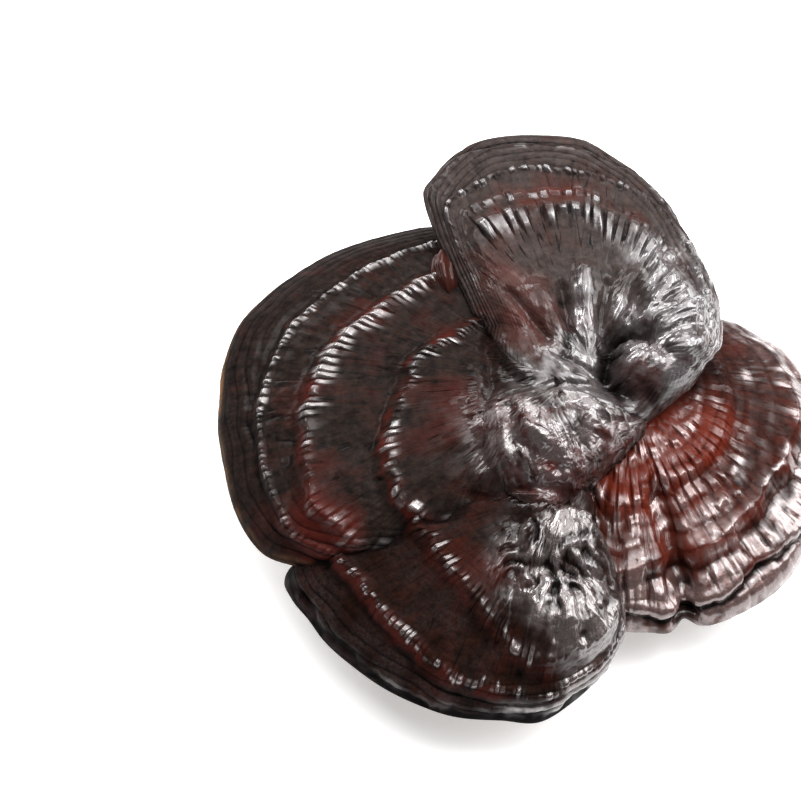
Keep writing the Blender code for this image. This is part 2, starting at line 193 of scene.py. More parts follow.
# A ledge rises to its crest and falls over the width of its scarp. Its blocks are the pieces that the
# crest is broken into: degrees from one to the next, half width, how far inside the crest they lie
# and how far they stray. "reddens" is how red it is behind the crest, "foot" how deep the groove
# before it is and how dark its painted shade.
everyLedge = {"flute": 0.0, "bead": 0.0, "foot": 0.0}
capLeft = {
    "slot": "dark_crust",
    "hub": (0.9, 4.5),
    "rimHeight": 34.0,
    "slope": (0.02, 0.0),
    "dome": 29.0,
    "fullness": (2.1, 0.58),
    "lip": (7.0, 8.0),
    "rim": (
        (117, 96), (124, 101), (130, 105), (138, 111), (146, 116), (153, 120), (159, 123), (166, 123),
        (174, 121), (180, 120), (188, 118), (195, 117), (201, 115), (205, 112), (209, 105), (213, 99),
        (216, 91), (221, 82), (225, 76), (229, 68), (236, 50), (252, 31), (315, 18), (0, 16), (45, 20),
        (75, 32), (95, 60), (107, 84),
    ),
    "ledges": (
        {
            "rise": 0.7, "scarp": 5.0, "band": 0.9, "blocks": (5.0, 2.6, 0.3, 1.2), "reddens": 0.8,
            "flute": 0.1,
            "crest": ((60, 0.2), (163, 0.245), (180, 0.235), (201, 0.27), (222, 0.32)),
            "shine": ((140, 0.1), (180, 0.15), (225, 0.3), (60, 0.1)),
        },
        {
            "rise": 2.0, "scarp": 6.0, "band": 1.4, "blocks": (2.6, 1.9, 0.3, 1.6), "reddens": 0.9,
            "flute": 0.8, "bead": 0.2,
            "crest": (
                (60, 0.38), (147, 0.36), (165, 0.414), (179, 0.444), (192, 0.51), (207, 0.6),
                (224, 0.79),
            ),
            "shine": ((140, 0.6), (155, 2.6), (185, 2.6), (205, 1.6), (225, 1.2), (60, 0.2)),
        },
        {
            "rise": 2.7, "scarp": 6.5, "band": 2.3, "blocks": (2.1, 3.2, 0.4, 1.3), "reddens": 0.8,
            "flute": 0.75, "bead": 0.1,
            "crest": (
                (60, 0.62), (131, 0.61), (153, 0.606), (168, 0.67), (181, 0.726), (197, 0.774),
                (209, 0.84), (217, 0.91),
            ),
            "shine": (
                (112, 0.3), (122, 2.2), (135, 4.2), (165, 4.0), (182, 1.6), (195, 0.5), (210, 0.3),
                (60, 0.2),
            ),
        },
        {
            "rise": 1.3, "scarp": 3.5, "band": 0.85, "blocks": (1.45, 1.6, 0.4, 0.1), "reddens": 0.1,
            "bead": 0.6, "foot": 0.3,
            "crest": (
                (60, 0.82), (124, 0.8), (145, 0.78), (165, 0.816), (181, 0.872), (201, 0.895),
                (209, 0.94), (230, 0.95),
            ),
            "shine": (
                (110, 0.4), (124, 2.6), (135, 4.4), (160, 4.4), (175, 1.8), (195, 0.4), (210, 0.2),
                (60, 0.1),
            ),
        },
    ),
    "folds": ((-40, -2, -62, 8, -1.0, 4.0), (-30, -22, -58, -26, -1.0, 4.0)),
    "lumps": ((1, -20, 31, 27, 0, 6.0),),
    "ribEvery": 1.55,
    "ribsAt": ((120, 1.0), (180, 1.0), (195, 0.6), (215, 0.35), (330, 1.0)),
    "ringsAt": ((150, 1.0), (330, 1.0)),
    "roll": 0.2,
    "rimShine": ((150, 0.0), (330, 0.0)),
    "marginColor": (0.2, 0.095, 0.035),
    "calm": 16.0,
    "rings": 0.34,
    "ringLines": 0.34,
    "ringWidth": 3.6,
    "ringsFrom": 0.8,
    "fibres": 1.0,
    "wrinkles": 0.22,
    "cracks": 0.22,
    "foldHeight": 0.85,
    "gloss": 0.02,
    "redSpots": (
        (-42, 0, 9, 0.5), (-46, -16, 9, 0.4), (-88, -38, 14, 0.5), (-82, -47, 8, 1.0),
        (-74, -45, 6, 0.8), (-72, 36, 9, 0.35), (-90, 6, 9, 0.3),
    ),
    "redBehind": 0.62,
    "bloom": 0.12,
    "ochre": (
        (60, 0.0), (125, 0.3), (140, 0.7), (155, 1.2), (168, 1.3), (180, 0.5), (195, 0.3), (204, 0.3),
        (212, 0.25), (220, 0.1),
    ),
    "tones": {
        "dark": (0.0042, 0.0031, 0.0028), "brown": (0.0205, 0.013, 0.0105),
        "red": (0.05, 0.0085, 0.006), "sheen": (0.26, 0.23, 0.225), "metal": 0.55,
    },
}
capFront = {
    "slot": "brown_crust",
    "hub": (0.0, -30.6),
    "rimHeight": 26.0,
    "slope": (0.04, 0.0),
    "dome": 32.0,
    "fullness": (2.0, 0.62),
    "lip": (6.0, 7.0),
    "rim": (
        (185, 73), (187, 90), (190, 96), (195, 95), (200, 92), (206, 90), (215, 86), (223, 83),
        (231, 80), (240, 77), (252, 72), (262, 70), (271, 63), (281, 55), (289, 47), (296, 40),
        (302, 33), (310, 24), (319, 18), (340, 14), (0, 13), (45, 12), (90, 12), (130, 16), (155, 26),
        (172, 46),
    ),
    "ledges": (
        {
            "rise": 1.9, "scarp": 6.0, "band": 1.35, "blocks": (2.9, 2.6, 0.4, 1.5), "reddens": 0.35,
            "flute": 0.8, "bead": 0.2, "foot": 0.1,
            "crest": (
                (60, 0.6), (198, 0.52), (215, 0.538), (224, 0.563), (239, 0.641), (252, 0.757),
                (274, 0.79), (284, 0.79),
            ),
            "shine": ((190, 1.6), (215, 2.2), (245, 2.6), (262, 1.8), (285, 0.5), (60, 0.2)),
        },
        {
            "rise": 1.9, "scarp": 5.0, "band": 0.75, "blocks": (1.6, 1.7, 0.4, 0.6), "reddens": 1.2,
            "flute": 0.2, "bead": 0.3, "foot": 0.4,
            "crest": (
                (60, 0.82), (194, 0.795), (205, 0.795), (221, 0.827), (234, 0.87), (250, 0.9),
                (284, 0.92),
            ),
            "shine": (
                (190, 2.6), (225, 2.8), (245, 1.6), (262, 0.9), (285, 1.0), (300, 0.5), (60, 0.3),
            ),
        },
        {
            "rise": 1.1, "scarp": 2.5, "band": 1.2, "blocks": (6.0, 2.0, 0.3, 0.4), "reddens": 0.3,
            "flute": 0.05, "foot": 0.8,
            "crest": ((60, 0.95), (193, 0.947), (222, 0.964), (244, 0.97), (284, 0.97)),
            "shine": ((190, 0.25), (250, 0.15), (285, 0.5), (60, 0.3)),
        },
    ),
    "folds": (
        (-17, -12, -20, -50, -2.8, 3.6), (-11, -29, 12, -31, -1.8, 2.6), (-5, -34, -6, -48, -1.2, 1.3),
        (1, -34, 2, -47, -1.6, 1.5), (-10, -35, -13, -50, 1.2, 2.0), (-6, -9, -10, -27, -1.2, 1.4),
        (3, -8, 5, -27, -1.0, 1.4), (-12, -31, 12, -32, 1.0, 1.6), (-14, -7, 12, -9, 1.2, 1.6),
    ),
    "lumps": ((-1, -18, 13, 10, 0, 3.4), (0, -42, 14, 10, 0, 5.2)),
    "ribEvery": 1.9,
    "ribsAt": ((200, 1.0), (250, 0.9), (275, 0.3), (330, 0.2)),
    "ringsAt": ((200, 1.6), (245, 1.5), (268, 2.8), (310, 2.8), (340, 1.0)),
    "roll": 0.3,
    "rimShine": ((170, 0.0), (190, 0.12), (245, 0.12), (262, 0.8), (300, 0.8), (325, 0.5), (350, 0.0)),
    "marginColor": (0.1, 0.05, 0.04),
    "calm": 14.0,
    "rings": 0.3,
    "ringLines": 0.45,
    "ringWidth": 3.2,
    "ringsFrom": 0.84,
    "fibres": 0.9,
    "wrinkles": 0.2,
    "cracks": 0.16,
    "crumples": ((-1, -17, 15, 1.0), (0, -38, 11.0, 1.0), (-15, -24, 12, 0.8)),
    "foldHeight": 0.95,
    "gloss": 0.02,
    "crisp": 1.4,
    "shineSpots": (
        (-1, -17, 13, 1.5), (0, -40, 9.5, 3.0), (14, -50, 8, 0.5), (-15, -22, 9, 0.7), (3, -60, 6, 1.3),
        (-14, -36, 6, 0.5),
    ),
    "redSpots": ((-38, -20, 8, 0.35), (-28, -26, 6, 0.35), (-18, -28, 9, 0.3), (-42, -61, 10, 0.25)),
    "redBehind": 0.55,
    "bloom": 1.0,
    "ochre": ((190, 0.05), (300, 0.05)),
    "tones": {
        "dark": (0.0042, 0.002, 0.0015), "brown": (0.015, 0.0058, 0.0036),
        "red": (0.046, 0.0075, 0.005), "sheen": (0.17, 0.14, 0.135), "metal": 0.5,
    },
}
capBack = {
    "slot": "grey_crust",
    "hub": (8.5, 12.7),
    "rimHeight": 58.0,
    "dome": 12.0,
    "fullness": (3.0, 0.55),
    "lip": (7.0, 8.0),
    "rim": (
        (130, 81), (126, 94), (122, 98), (117, 102), (111, 105), (105, 105), (97, 103), (88, 100),
        (82, 94), (74, 87), (67, 80), (59, 71), (47, 63), (35, 57), (23, 52), (12, 47), (5, 41),
        (354, 36), (341, 31), (327, 28), (310, 26), (270, 22), (225, 22), (190, 26), (165, 34),
        (147, 46), (137, 62),
    ),
    "ledges": (
        {
            "rise": 2.6, "scarp": 8.0, "band": 3.4, "blocks": (4.3, 4.2, 2.8, 1.6), "reddens": 0.6,
            "flute": 1.7, "foot": 0.1,
            "crest": (
                (230, 0.6), (124, 0.66), (110, 0.6), (87, 0.615), (76, 0.64), (62, 0.685), (50, 0.7),
                (10, 0.75),
            ),
            "shine": ((130, 0.3), (115, 1.3), (60, 1.3), (0, 1.2), (230, 0.3)),
        },
        {
            "rise": 0.5, "scarp": 2.5, "band": 1.5, "blocks": (3.3, 1.6, 0.4, 1.0), "reddens": 1.0,
            "flute": 0.5, "bead": 0.3, "foot": 0.1,
            "crest": (
                (230, 0.72), (124, 0.75), (110, 0.69), (87, 0.69), (76, 0.72), (62, 0.775), (50, 0.8),
                (10, 0.83),
            ),
            "shine": ((125, 0.2), (100, 1.2), (80, 1.2), (60, 0.4), (0, 0.2), (230, 0.2)),
        },
        {
            "rise": 1.1, "scarp": 2.8, "band": 0.9, "blocks": (2.1, 1.6, 0.4, 0.2), "reddens": 0.3,
            "flute": 0.1, "bead": 0.7, "foot": 0.2,
            "crest": (
                (230, 0.84), (127, 0.85), (115, 0.8), (102, 0.79), (91, 0.775), (84, 0.8), (72, 0.855),
                (64, 0.9), (52, 0.93), (37, 0.9),
            ),
            "shine": ((130, 1.0), (90, 1.5), (0, 0.9), (230, 0.3)),
        },
        {
            "rise": 0.9, "scarp": 2.2, "band": 1.0, "blocks": (5.0, 2.0, 0.3, 0.3), "reddens": 0.1,
            "flute": 0.1, "bead": 0.1, "foot": 0.5,
            "crest": (
                (230, 0.96), (118, 0.965), (109, 0.93), (98, 0.91), (84, 0.91), (71, 0.95), (50, 0.975),
            ),
            "shine": ((130, 0.1), (90, 0.3), (40, 0.6), (0, 0.8), (230, 0.2)),
        },
    ),
    "folds": (
        (0, 35, 1, 11, 3.0, 4.0), (17, 32, 7, 8, 2.6, 3.0), (29, 40, 19, 27, -3.0, 3.5),
        (19, 27, 12, 13, -1.6, 2.4), (-16, 27, -6, 3, 2.2, 3.5), (-11, 1, 7, -14, -2.5, 3.0),
        (-8, 29, -6, 15, -2.6, 2.0), (-6, 15, -7, 4, -2.4, 2.0), (-26, 26, -14, 8, -2.2, 1.8),
        (8, 30, 4, 12, -1.6, 1.8), (9, 10, 6, -4, -6.5, 3.0), (6, -4, 11, -14, -5.5, 3.0),
        (9, 10, 20, 10, -4.0, 2.6), (20, 10, 25, 3, -2.5, 2.0), (22, 12, 39, 23, 1.6, 2.2),
        (25, 4, 40, 6, 1.3, 2.0), (24, 8, 40, 14, -1.3, 1.7), (19, 16, 31, 34, 1.5, 2.2),
    ),
    "lumps": (
        (2, 8, 20, 22, 0, -5.0), (16, -1, 6.5, 7.5, 0, 6.0), (29, 12, 9, 16, 10, 4.0),
        (-20, 21, 9, 11, -30, 3.2), (-31, 29, 6, 8, -20, 2.0),
    ),
    "ledgesAt": ((122, 1.0), (136, 0.15), (230, 0.1), (320, 0.6), (345, 1.0)),
    # places of painted shade, in the moat round the mound and in the creases
    "deep": (
        (8, 8, 3.5, 1.0), (6, 2, 3.5, 1.0), (6, -4, 3.5, 1.0), (9, -10, 3.5, 1.0), (13, -14, 3.5, 0.8),
        (14, 10, 3, 0.8), (-8, 24, 2.2, 0.8), (-8, 17, 2.2, 0.8), (-7, 10, 2.5, 0.7), (-30, 16, 3, 0.6),
        (17, -9, 5, 0.5), (21, -12, 4, 0.8),
    ),
    "ribEvery": 3.7,
    "ribsAt": ((330, 0.15), (20, 0.35), (50, 1.0), (130, 1.0), (200, 0.3)),
    "ringsAt": ((0, 1.0), (180, 1.0)),
    "roll": 0.5,
    "rimShine": ((330, 0.2), (20, 0.2), (60, 0.2), (90, 0.0), (200, 0.0)),
    "marginColor": (0.12, 0.06, 0.05),
    "ribs": 0.03,
    "calm": 24.0,
    "rings": 0.36,
    "ringLines": 0.32,
    "ringWidth": 3.4,
    "ringsFrom": 0.76,
    "fibres": 0.6,
    "wrinkles": 0.24,
    "cracks": 0.35,
    "crumples": (
        (28, 16, 19, 0.6), (18, 36, 14, 0.35), (-14, 18, 14, 0.18), (0, 10, 12, 0.6), (16, 0, 8, 0.8),
    ),
    "foldHeight": 0.85,
    "gloss": 0.04,
    "shineSpots": (
        (32, 15, 14, 1.3), (-1, 30, 4, 1.1), (-1, 19, 4.5, 1.1), (13, 20, 6, 0.8), (26, 40, 12, 0.5),
        (29, -5, 5, 1.0), (17, -2, 6, 0.45), (12, 3, 2.8, 2.6), (18, 4, 3.4, 3.0), (15, -1, 2.4, 2.6),
        (21, 0, 3.2, 3.0), (-20, 22, 11, 0.15),
    ),
    "redSpots": (
        (-26, 28, 13, 0.45), (-16, 14, 11, 0.55), (17, -5, 8, 0.7), (-20, 60, 12, 0.25),
        (-4, 72, 10, 0.3), (44, 4, 6, 0.4), (46, 16, 5, 0.3),
    ),
    "redBehind": 0.35,
    "bloom": 0.8,
    "ochre": ((120, 0.1), (60, 0.3), (0, 0.7), (330, 0.5), (200, 0.0)),
    "tones": {
        "dark": (0.014, 0.0105, 0.0095), "brown": (0.047, 0.033, 0.029), "red": (0.058, 0.014, 0.01),
        "sheen": (0.165, 0.15, 0.155), "metal": 0.5,
    },
}
capRight = {
    "slot": "red_crust",
    "hub": (20.9, 18.2),
    "rimHeight": 24.0,
    "dome": 27.0,
    "fullness": (2.0, 0.6),
    "lip": (6.0, 7.0),
    "rim": (
        (41, 52), (33, 58), (25, 62), (18, 67), (3, 71), (350, 74), (338, 76), (324, 82), (316, 85),
        (310, 87), (303, 88), (296, 88), (290, 88), (287, 87), (284, 83), (280, 87), (275, 86),
        (269, 85), (262, 80), (254, 62), (240, 40), (215, 26), (180, 20), (135, 20), (90, 30), (60, 44),
    ),
    "ledges": (
        {
            "rise": 0.3, "scarp": 3.0, "band": 2.4, "blocks": (7.3, 2.4, 0.4, 2.4), "reddens": 0.5,
            "flute": 0.7,
            "crest": ((328, 0.36), (312, 0.35), (288, 0.35), (274, 0.4), (264, 0.44), (90, 0.36)),
            "shine": ((30, 0.1), (345, 0.5), (325, 1.3), (260, 1.2), (90, 0.2)),
        },
        {
            "rise": 2.0, "scarp": 5.0, "band": 3.0, "blocks": (4.6, 3.6, 1.2, 1.3), "reddens": 0.9,
            "flute": 1.0,
            "crest": ((328, 0.494), (312, 0.478), (288, 0.484), (274, 0.55), (264, 0.596), (90, 0.5)),
            "shine": ((30, 0.1), (345, 0.5), (325, 1.4), (260, 1.3), (90, 0.3)),
        },
        {
            "rise": 0.3, "scarp": 3.0, "band": 2.6, "blocks": (4.9, 2.8, 0.6, 2.4), "reddens": 0.3,
            "flute": 0.7,
            "crest": ((328, 0.6), (312, 0.575), (288, 0.58), (274, 0.63), (264, 0.66), (90, 0.62)),
            "shine": ((30, 0.1), (350, 0.1), (330, 0.6), (310, 1.0), (260, 1.3), (90, 0.2)),
        },
        {
            "rise": 0.3, "scarp": 3.0, "band": 2.2, "blocks": (5.7, 2.4, 0.6, 1.6), "reddens": 0.3,
            "flute": 0.6,
            "crest": (
                (20, 0.73), (350, 0.72), (333, 0.69), (312, 0.65), (297, 0.665), (279, 0.7),
                (265, 0.745), (90, 0.72),
            ),
            "shine": ((30, 0.1), (350, 0.1), (330, 0.4), (310, 0.8), (260, 1.0), (90, 0.2)),
        },
        {
            "rise": 2.6, "scarp": 6.0, "band": 0.8, "blocks": (9.0, 2.0, 0.2, 0.3), "reddens": 0.9,
            "flute": 0.3, "foot": 0.3,
            "crest": (
                (20, 0.84), (350, 0.84), (333, 0.79), (319, 0.736), (308, 0.727), (297, 0.755),
                (279, 0.773), (265, 0.83),
            ),
            "shine": ((30, 0.2), (345, 0.4), (320, 1.0), (260, 0.8), (90, 0.3)),
        },
        {
            "rise": 2.4, "scarp": 3.0, "band": 4.4, "blocks": (5.6, 4.2, 3.6, 0.6), "reddens": 0.2,
            "flute": 1.0, "foot": 1.3,
            "crest": (
                (20, 0.95), (340, 0.95), (323, 0.93), (313, 0.9), (304, 0.883), (295, 0.91),
                (285, 0.94), (270, 0.93),
            ),
            "shine": ((20, 0.3), (345, 4.4), (300, 6.5), (260, 2.6), (90, 0.2)),
        },
    ),
    "folds": ((10, -46, 21, -84, -4.0, 4.5),),
    "ledgesAt": ((20, 0.4), (345, 1.0), (260, 1.0), (90, 0.4)),
    # places of painted shade: a painted shadow under the back cap's rim, and the notch at the front
    "deep": ((24, -4, 6, 0.9), (34, 1, 5, 0.6), (20, -82, 3.5, 1.0), (17, -72, 2.6, 0.7)),
    "ribEvery": 4.6,
    "ribsAt": ((30, 0.1), (345, 0.15), (325, 0.6), (300, 1.0), (255, 1.1), (100, 0.3)),
    "ringsAt": ((30, 0.3), (345, 0.4), (320, 0.8), (255, 0.6), (100, 0.5)),
    "rimRoll": 3.8,
    "roll": 1.3,
    "rimShine": ((30, 0.4), (340, 1.9), (310, 2.4), (262, 1.4), (200, 0.0)),
    "marginColor": (0.15, 0.07, 0.055),
    "ribs": 0.26,
    "calm": 20.0,
    "rings": 0.42,
    "ringLines": 0.1,
    "ringWidth": 6.0,
    "ringsFrom": 0.3,
    "fibres": 0.35,
    "wrinkles": 0.25,
    "cracks": 0.5,
    "knotShare": 0.0,
    "crumples": ((14, -24, 18, 0.6), (8, -50, 12, 0.3)),
    "foldHeight": 0.7,
    "gloss": 0.05,
    "crisp": 1.4,
    "shineSpots": (
        (12, -46, 12, 0.2), (24, -42, 12, 0.2), (34, -62, 13, 0.5), (54, -45, 9, 0.6), (8, -24, 7, 0.6),
        (20, -16, 5, 0.5), (46, 2, 3, 0.5), (6, -70, 13, 0.3), (54, 22, 13, 0.4),
    ),
    "redSpots": ((15, -28, 16, 0.9), (0, -40, 12, 0.8), (30, -20, 12, 0.6), (18, -60, 20, 0.4)),
    "redBehind": 0.4,
    "bloom": 0.05,
    "greySpots": ((54, 22, 16, 1.2), (66, 2, 10, 0.6)),
    "ochre": ((20, 0.4), (340, 0.7), (300, 0.8), (265, 0.6), (90, 0.1)),
    "tones": {
        "dark": (0.01, 0.0032, 0.0026), "brown": (0.038, 0.011, 0.0075), "red": (0.096, 0.013, 0.006),
        "sheen": (0.27, 0.18, 0.17), "metal": 0.4,
    },
}
caps = {"cap_back": capBack, "cap_left": capLeft, "cap_front": capFront, "cap_right": capRight}
for name, cap in caps.items():
    caps[name] = {**everyCap, **cap, "ledges": [{**everyLedge, **ledge} for ledge in cap["ledges"]]}
build = {
    "spokes": 640,
    "evenRings": 94,
    "nearCrest": (-2.6, -1.7, -1.0, -0.4, 0.15, 0.7, 1.4, 2.4, 3.6, 5.0),  # more rings beside a crest
    "tallCrest": 0.6,  # only a ledge that rises higher than this gets them
    "lipSteps": 10,
    "under": (0.96, 0.90, 0.84, 0.78, 0.72, 0.66, 0.60, 0.54, 0.48, 0.42, 0.36),  # rings of the underside
    "ramp": 9.0,  # distance over which a ledge's back rises to its crest
    "buried": 24.0,  # a rim nearer the hub than this lies inside the crown
    "groove": 0.18,  # depth at a ledge's foot, as a share of its rise
}


def spokeBearings(rim, count):
    fine = np.linspace(0.0, 360.0, 1441)
    radius = around(rim, fine)
    x = radius * np.cos(np.radians(fine))
    y = radius * np.sin(np.radians(fine))
    length = np.hypot(np.diff(x), np.diff(y)) * (radius[1:] / radius.max()) ** 1.4  # closer far out
    run = np.concatenate([[0.0], np.cumsum(length)])
    return np.interp(np.arange(count) * run[-1] / count, run, fine)


def ringShares(cap, bearing, radius):
    # shares of the radius at which the top is ringed: close together at each crest, and bent with it
    crests = [around(ledge["crest"], bearing) for ledge in cap["ledges"]]
    knots = np.array([np.zeros_like(bearing), *crests, np.ones_like(bearing)])
    marks = np.array([0.0, *[crest.mean() for crest in crests], 1.0])
    wanted = list(0.04 + 0.96 * np.linspace(0.0, 1.0, build["evenRings"]) ** 0.78)
    for mark, ledge in zip(marks[1:-1], cap["ledges"]):
        if ledge["rise"] > build["tallCrest"]:
            wanted += [mark + step / radius.max() for step in build["nearCrest"]]
    wanted = np.array(sorted(w for w in wanted if w <= 1.0))
    wanted = wanted[np.concatenate([np.diff(wanted) > 0.0022, [True]])]
    i = np.clip(np.searchsorted(marks, wanted, side="right") - 1, 0, len(marks) - 2)
    t = ((wanted - marks[i]) / (marks[i + 1] - marks[i]))[:, None]
    return (1 - t) * knots[i] + t * knots[i + 1]


def ledgeRise(away, ledge):
    scarp = ledge["scarp"]
    back = np.exp(np.minimum(away, 0) / build["ramp"])
    front = 1 - smoothStep(away / scarp)
    groove = build["groove"] * hump((away - 1.1 * scarp) / (0.7 * scarp))
    bead = ledge["bead"] * hump((away + 0.5) / 1.1)
    return ledge["rise"] * (np.where(away < 0, back, front) - groove + bead)


# The knot is the crumpled crown where everything grows together. Its places are the object's own,
# so that folds and shine run on from piece to piece.
knot = {
    "centre": (4.0, -10.0),
    "turn": -57.0,  # the way its folds run
    "spacing": 6.0,
    "length": 16.0,
    "reach": (14.0, 20.0),  # the folds turn outwards beyond the first, over the second
    # height, how much finer and shift of each layer of folds
    "layers": (
        (0.60, (1.0, 1.0, 1.0), 0.0), (-0.42, (1.7, 1.9, 1.5), 9.0), (0.26, (3.1, 3.4, 2.4), 19.0),
    ),
    "creased": (0.15, 2.0),  # height and size of the finest creases
    "strayed": (1.5, 7.0),  # how far its ridges stray, and over what length
    # from x, y to x, y, with height and half width
    "ridges": (
        (4, 27, 16, 7, 2.2, 4.0), (-5, 15, 7, 4, 1.6, 3.4), (-10, -15, 2, -25, 1.6, 3.0),
        (-23, -8, -21, -23, 1.4, 2.2), (-15, -4, -14, -16, 1.2, 2.2), (0, 14, 15, 3, -2.2, 1.6),
        (-7, 1, 18, 2, -2.4, 1.8), (-15, -19, -4, -28, -1.4, 1.8), (-19, -2, -18, -20, -1.3, 1.6),
        (-26, 24, -24, 0, -2.6, 2.4), (-32, -32, -14, -31, -2.6, 2.0), (-14, -31, -1, -34, -3.4, 2.4),
        (-1, -34, 13, -38, -3.4, 2.4),
    ),
    "mounds": ((9, -7, 14, 9, 25, 2.4),),
    "crumples": ((4, -8, 27, 1.0), (-20, -12, 15, 0.8)),
    "shine": (
        (10, -7, 14, 1.5), (-5, -20, 11, 1.0), (7, 16, 11, 1.1), (-6, 8, 8, 0.6), (-20, -12, 12, 0.8),
        (-6, -29, 8, 0.5), (-17, -24, 7, 0.4),
    ),
    "red": ((-6, -30, 12, 0.45), (-22, -10, 12, 0.5), (6, -26, 8, 0.4), (16, -14, 7, 0.4)),
    "pressed": (10.0, 0.8),  # its side over the right cap is pressed flat beyond the first, by the second
}


def spots(table, x, y):
    return sum(s * hump(np.hypot(x - px, y - py) / r) for px, py, r, s in table) + 0 * x


def turned(x, y, degrees):
    c, s = math.cos(math.radians(degrees)), math.sin(math.radians(degrees))
    return c * x + s * y, c * y - s * x


def ridged(table, x, y):
    rise = 0 * x
    for x0, y0, x1, y1, height, width in table:
        runX, runY = x1 - x0, y1 - y0
        t = np.clip(((x - x0) * runX + (y - y0) * runY) / (runX**2 + runY**2), 0, 1)
        rise = rise + height * hump(np.hypot(x - x0 - t * runX, y - y0 - t * runY) / width)
    return rise


def mounds(table, x, y):
    rise = 0 * x
    for atX, atY, halfX, halfY, turn, height in table:
        u, v = turned(x - atX, y - atY, turn)
        rise = rise + height * np.exp(-np.square(u / halfX) - np.square(v / halfY))
    return rise


def knotRise(world):
    x, y = world[..., 0], world[..., 1]
    stray, over = knot["strayed"]
    x = x + stray * waver(world / over)
    y = y + stray * waver(world / over + 30.0)
    return ridged(knot["ridges"], x, y) + mounds(knot["mounds"], x, y)


def crumple(world):
    # folded lacquer: the same folds on every piece, so that they run on where pieces meet
    x, y, z = world[..., 0] - knot["centre"][0], world[..., 1] - knot["centre"][1], world[..., 2]
    bend = joined(*[waver(world / 13.0 + shift) for shift in (13.6, 51.2, 71.4)])
    along, across = turned(x, y, knot["turn"])
    within = joined(along / knot["length"], across / knot["spacing"], z / 9.0)
    within = within + bend * (0.7, 1.0, 0.5) + 6.0
    reach = np.hypot(x, y)
    turns = 40.0 / knot["spacing"]
    outwards = joined(turns * x / (reach + 6.0), turns * y / (reach + 6.0), reach / knot["length"])
    outwards = outwards + bend * (1.0, 1.0, 0.5)
    share = smoothStep((reach - knot["reach"][0]) / knot["reach"][1])
    leftwards = np.clip(-x / (reach + 1.0), 0, 1)
    share = share * (1 - smoothStep((leftwards - 0.45) / 0.35))
    folds = [
        sum(high * pillows(place * finer + shift) for high, finer, shift in knot["layers"])
        for place in (within, outwards)
    ]
    high, size = knot["creased"]
    return folds[0] * (1 - share) + folds[1] * share + high * pillows(world / size)


def onFolds(folds, share):
    # shine lies on the backs of the folds, not between them
    return 1 + share * (np.clip(0.75 + 0.8 * folds, 0.08, 1.6) - 1)


def patchy(world):
    return np.clip(1 + 0.9 * octaves(world / 6.0, 3), 0, 2)


def capRings(cap, bearing, radius):
    # reach from the hub and height over the rim: rings of the top, round the lip and below
    power, root = cap["fullness"]
    lipHeight, lipWidth = cap["lip"]
    lipWidth = np.minimum(lipWidth, 0.4 * radius)
    shares = ringShares(cap, bearing, radius)
    rings = [(share * radius, cap["dome"] * (1 - share**power) ** root) for share in shares]
    for step in range(1, build["lipSteps"] + 1):
        turn = 0.5 * math.pi * step / build["lipSteps"]
        rings.append((radius - lipWidth * (1 - math.cos(turn)), -lipHeight * math.sin(turn)))
    for share in build["under"]:
        rings.append((share * (radius - lipWidth), -lipHeight - cap["sag"] * (1 - share) ** 2))
    reach, height = [np.array([ring[i] + 0 * bearing for ring in rings]) for i in (0, 1)]
    return reach, height, len(shares)


def addCrests(cap, fine, world, bearing, turnedBy, aways, ribbed):
    # breaks each crest into its own blocks: adds their relief, and returns their shine and their foot, a
    # groove darkened with painted shade
    crestShine, foot = 0 * fine, 0 * fine
    faded = between(cap["ledgesAt"], bearing)
    broken = np.clip(0.9 + 1.6 * octaves(world / 7.0 + 40, 2), 0.05, 1.6)
    for i, (away, ledge) in enumerate(zip(aways, cap["ledges"])):
        foot += faded * ledge["foot"] * hump((away - 0.95 * ledge["scarp"]) / 1.1)
        every, half, inside, jitter = ledge["blocks"]
        full, strength, shift, length = blocks(turnedBy, every, 37 * i)
        moved = (away + inside + jitter * shift) / length
        tall = full * (0.25 + 1.3 * strength) - 0.4
        fine += faded * ribbed * ledge["flute"] * hump(moved / half) * tall
        fine += faded * ledge["bead"] * hump((away + 0.4) / 1.1) * (full * (0.4 + 1.2 * strength) - 0.5)
        lit = between(ledge["shine"], bearing) * (0.1 + 1.5 * strength**1.6) * full * broken
        crestShine += faded * lit * hump(moved / ledge["band"])
    fine -= relief["footDepth"] * foot
    return crestShine, foot


# fine relief that all caps share, in millimetres
relief = {
    "opens": 26.0,  # distance beyond "calm" over which ribs and wrinkles come in
    "outerOver": 0.12,  # share of the radius over which the outer rings come in
    "innerRings": 0.3,  # how plain the rings are inside them
    "wander": ((7.0, 45.0, 3.0, 1.6), (3.4, 14.0, 13.0, 0.8)),  # ribs: spacing, length, shift, degrees
    "grain": (0.08, 2.4),  # height and size
    "waves": ((1.1, 17.0), (0.4, 7.0)),  # height and size of the underside's
    "smoothHub": 6.0,  # nearer the hub than this it fades out
    "buriedShare": 0.3,  # how much of it is left inside the crown
    "footDepth": 0.7,
    "heldAtRim": 0.3,  # how much of a ledge's rise reaches the very rim
}


def wrinklesOf(bearing, warp):
    # wrinkles and cracks that run outwards
    wrinkle = 0.6 * waver(spread(bearing, warp, 2.8, 11.0, 7.0))
    wrinkle = wrinkle - 0.4 * pillows(spread(bearing, warp, 6.0, 24.0, 15.0))
    crack = hump(waver(spread(bearing, warp, 5.0, 26.0, 55.0)) / 0.05)
    crack = crack * smoothStep(2.0 * waver(spread(bearing, warp, 4.0, 7.0, 21.0)) + 0.1)
    return wrinkle, crack


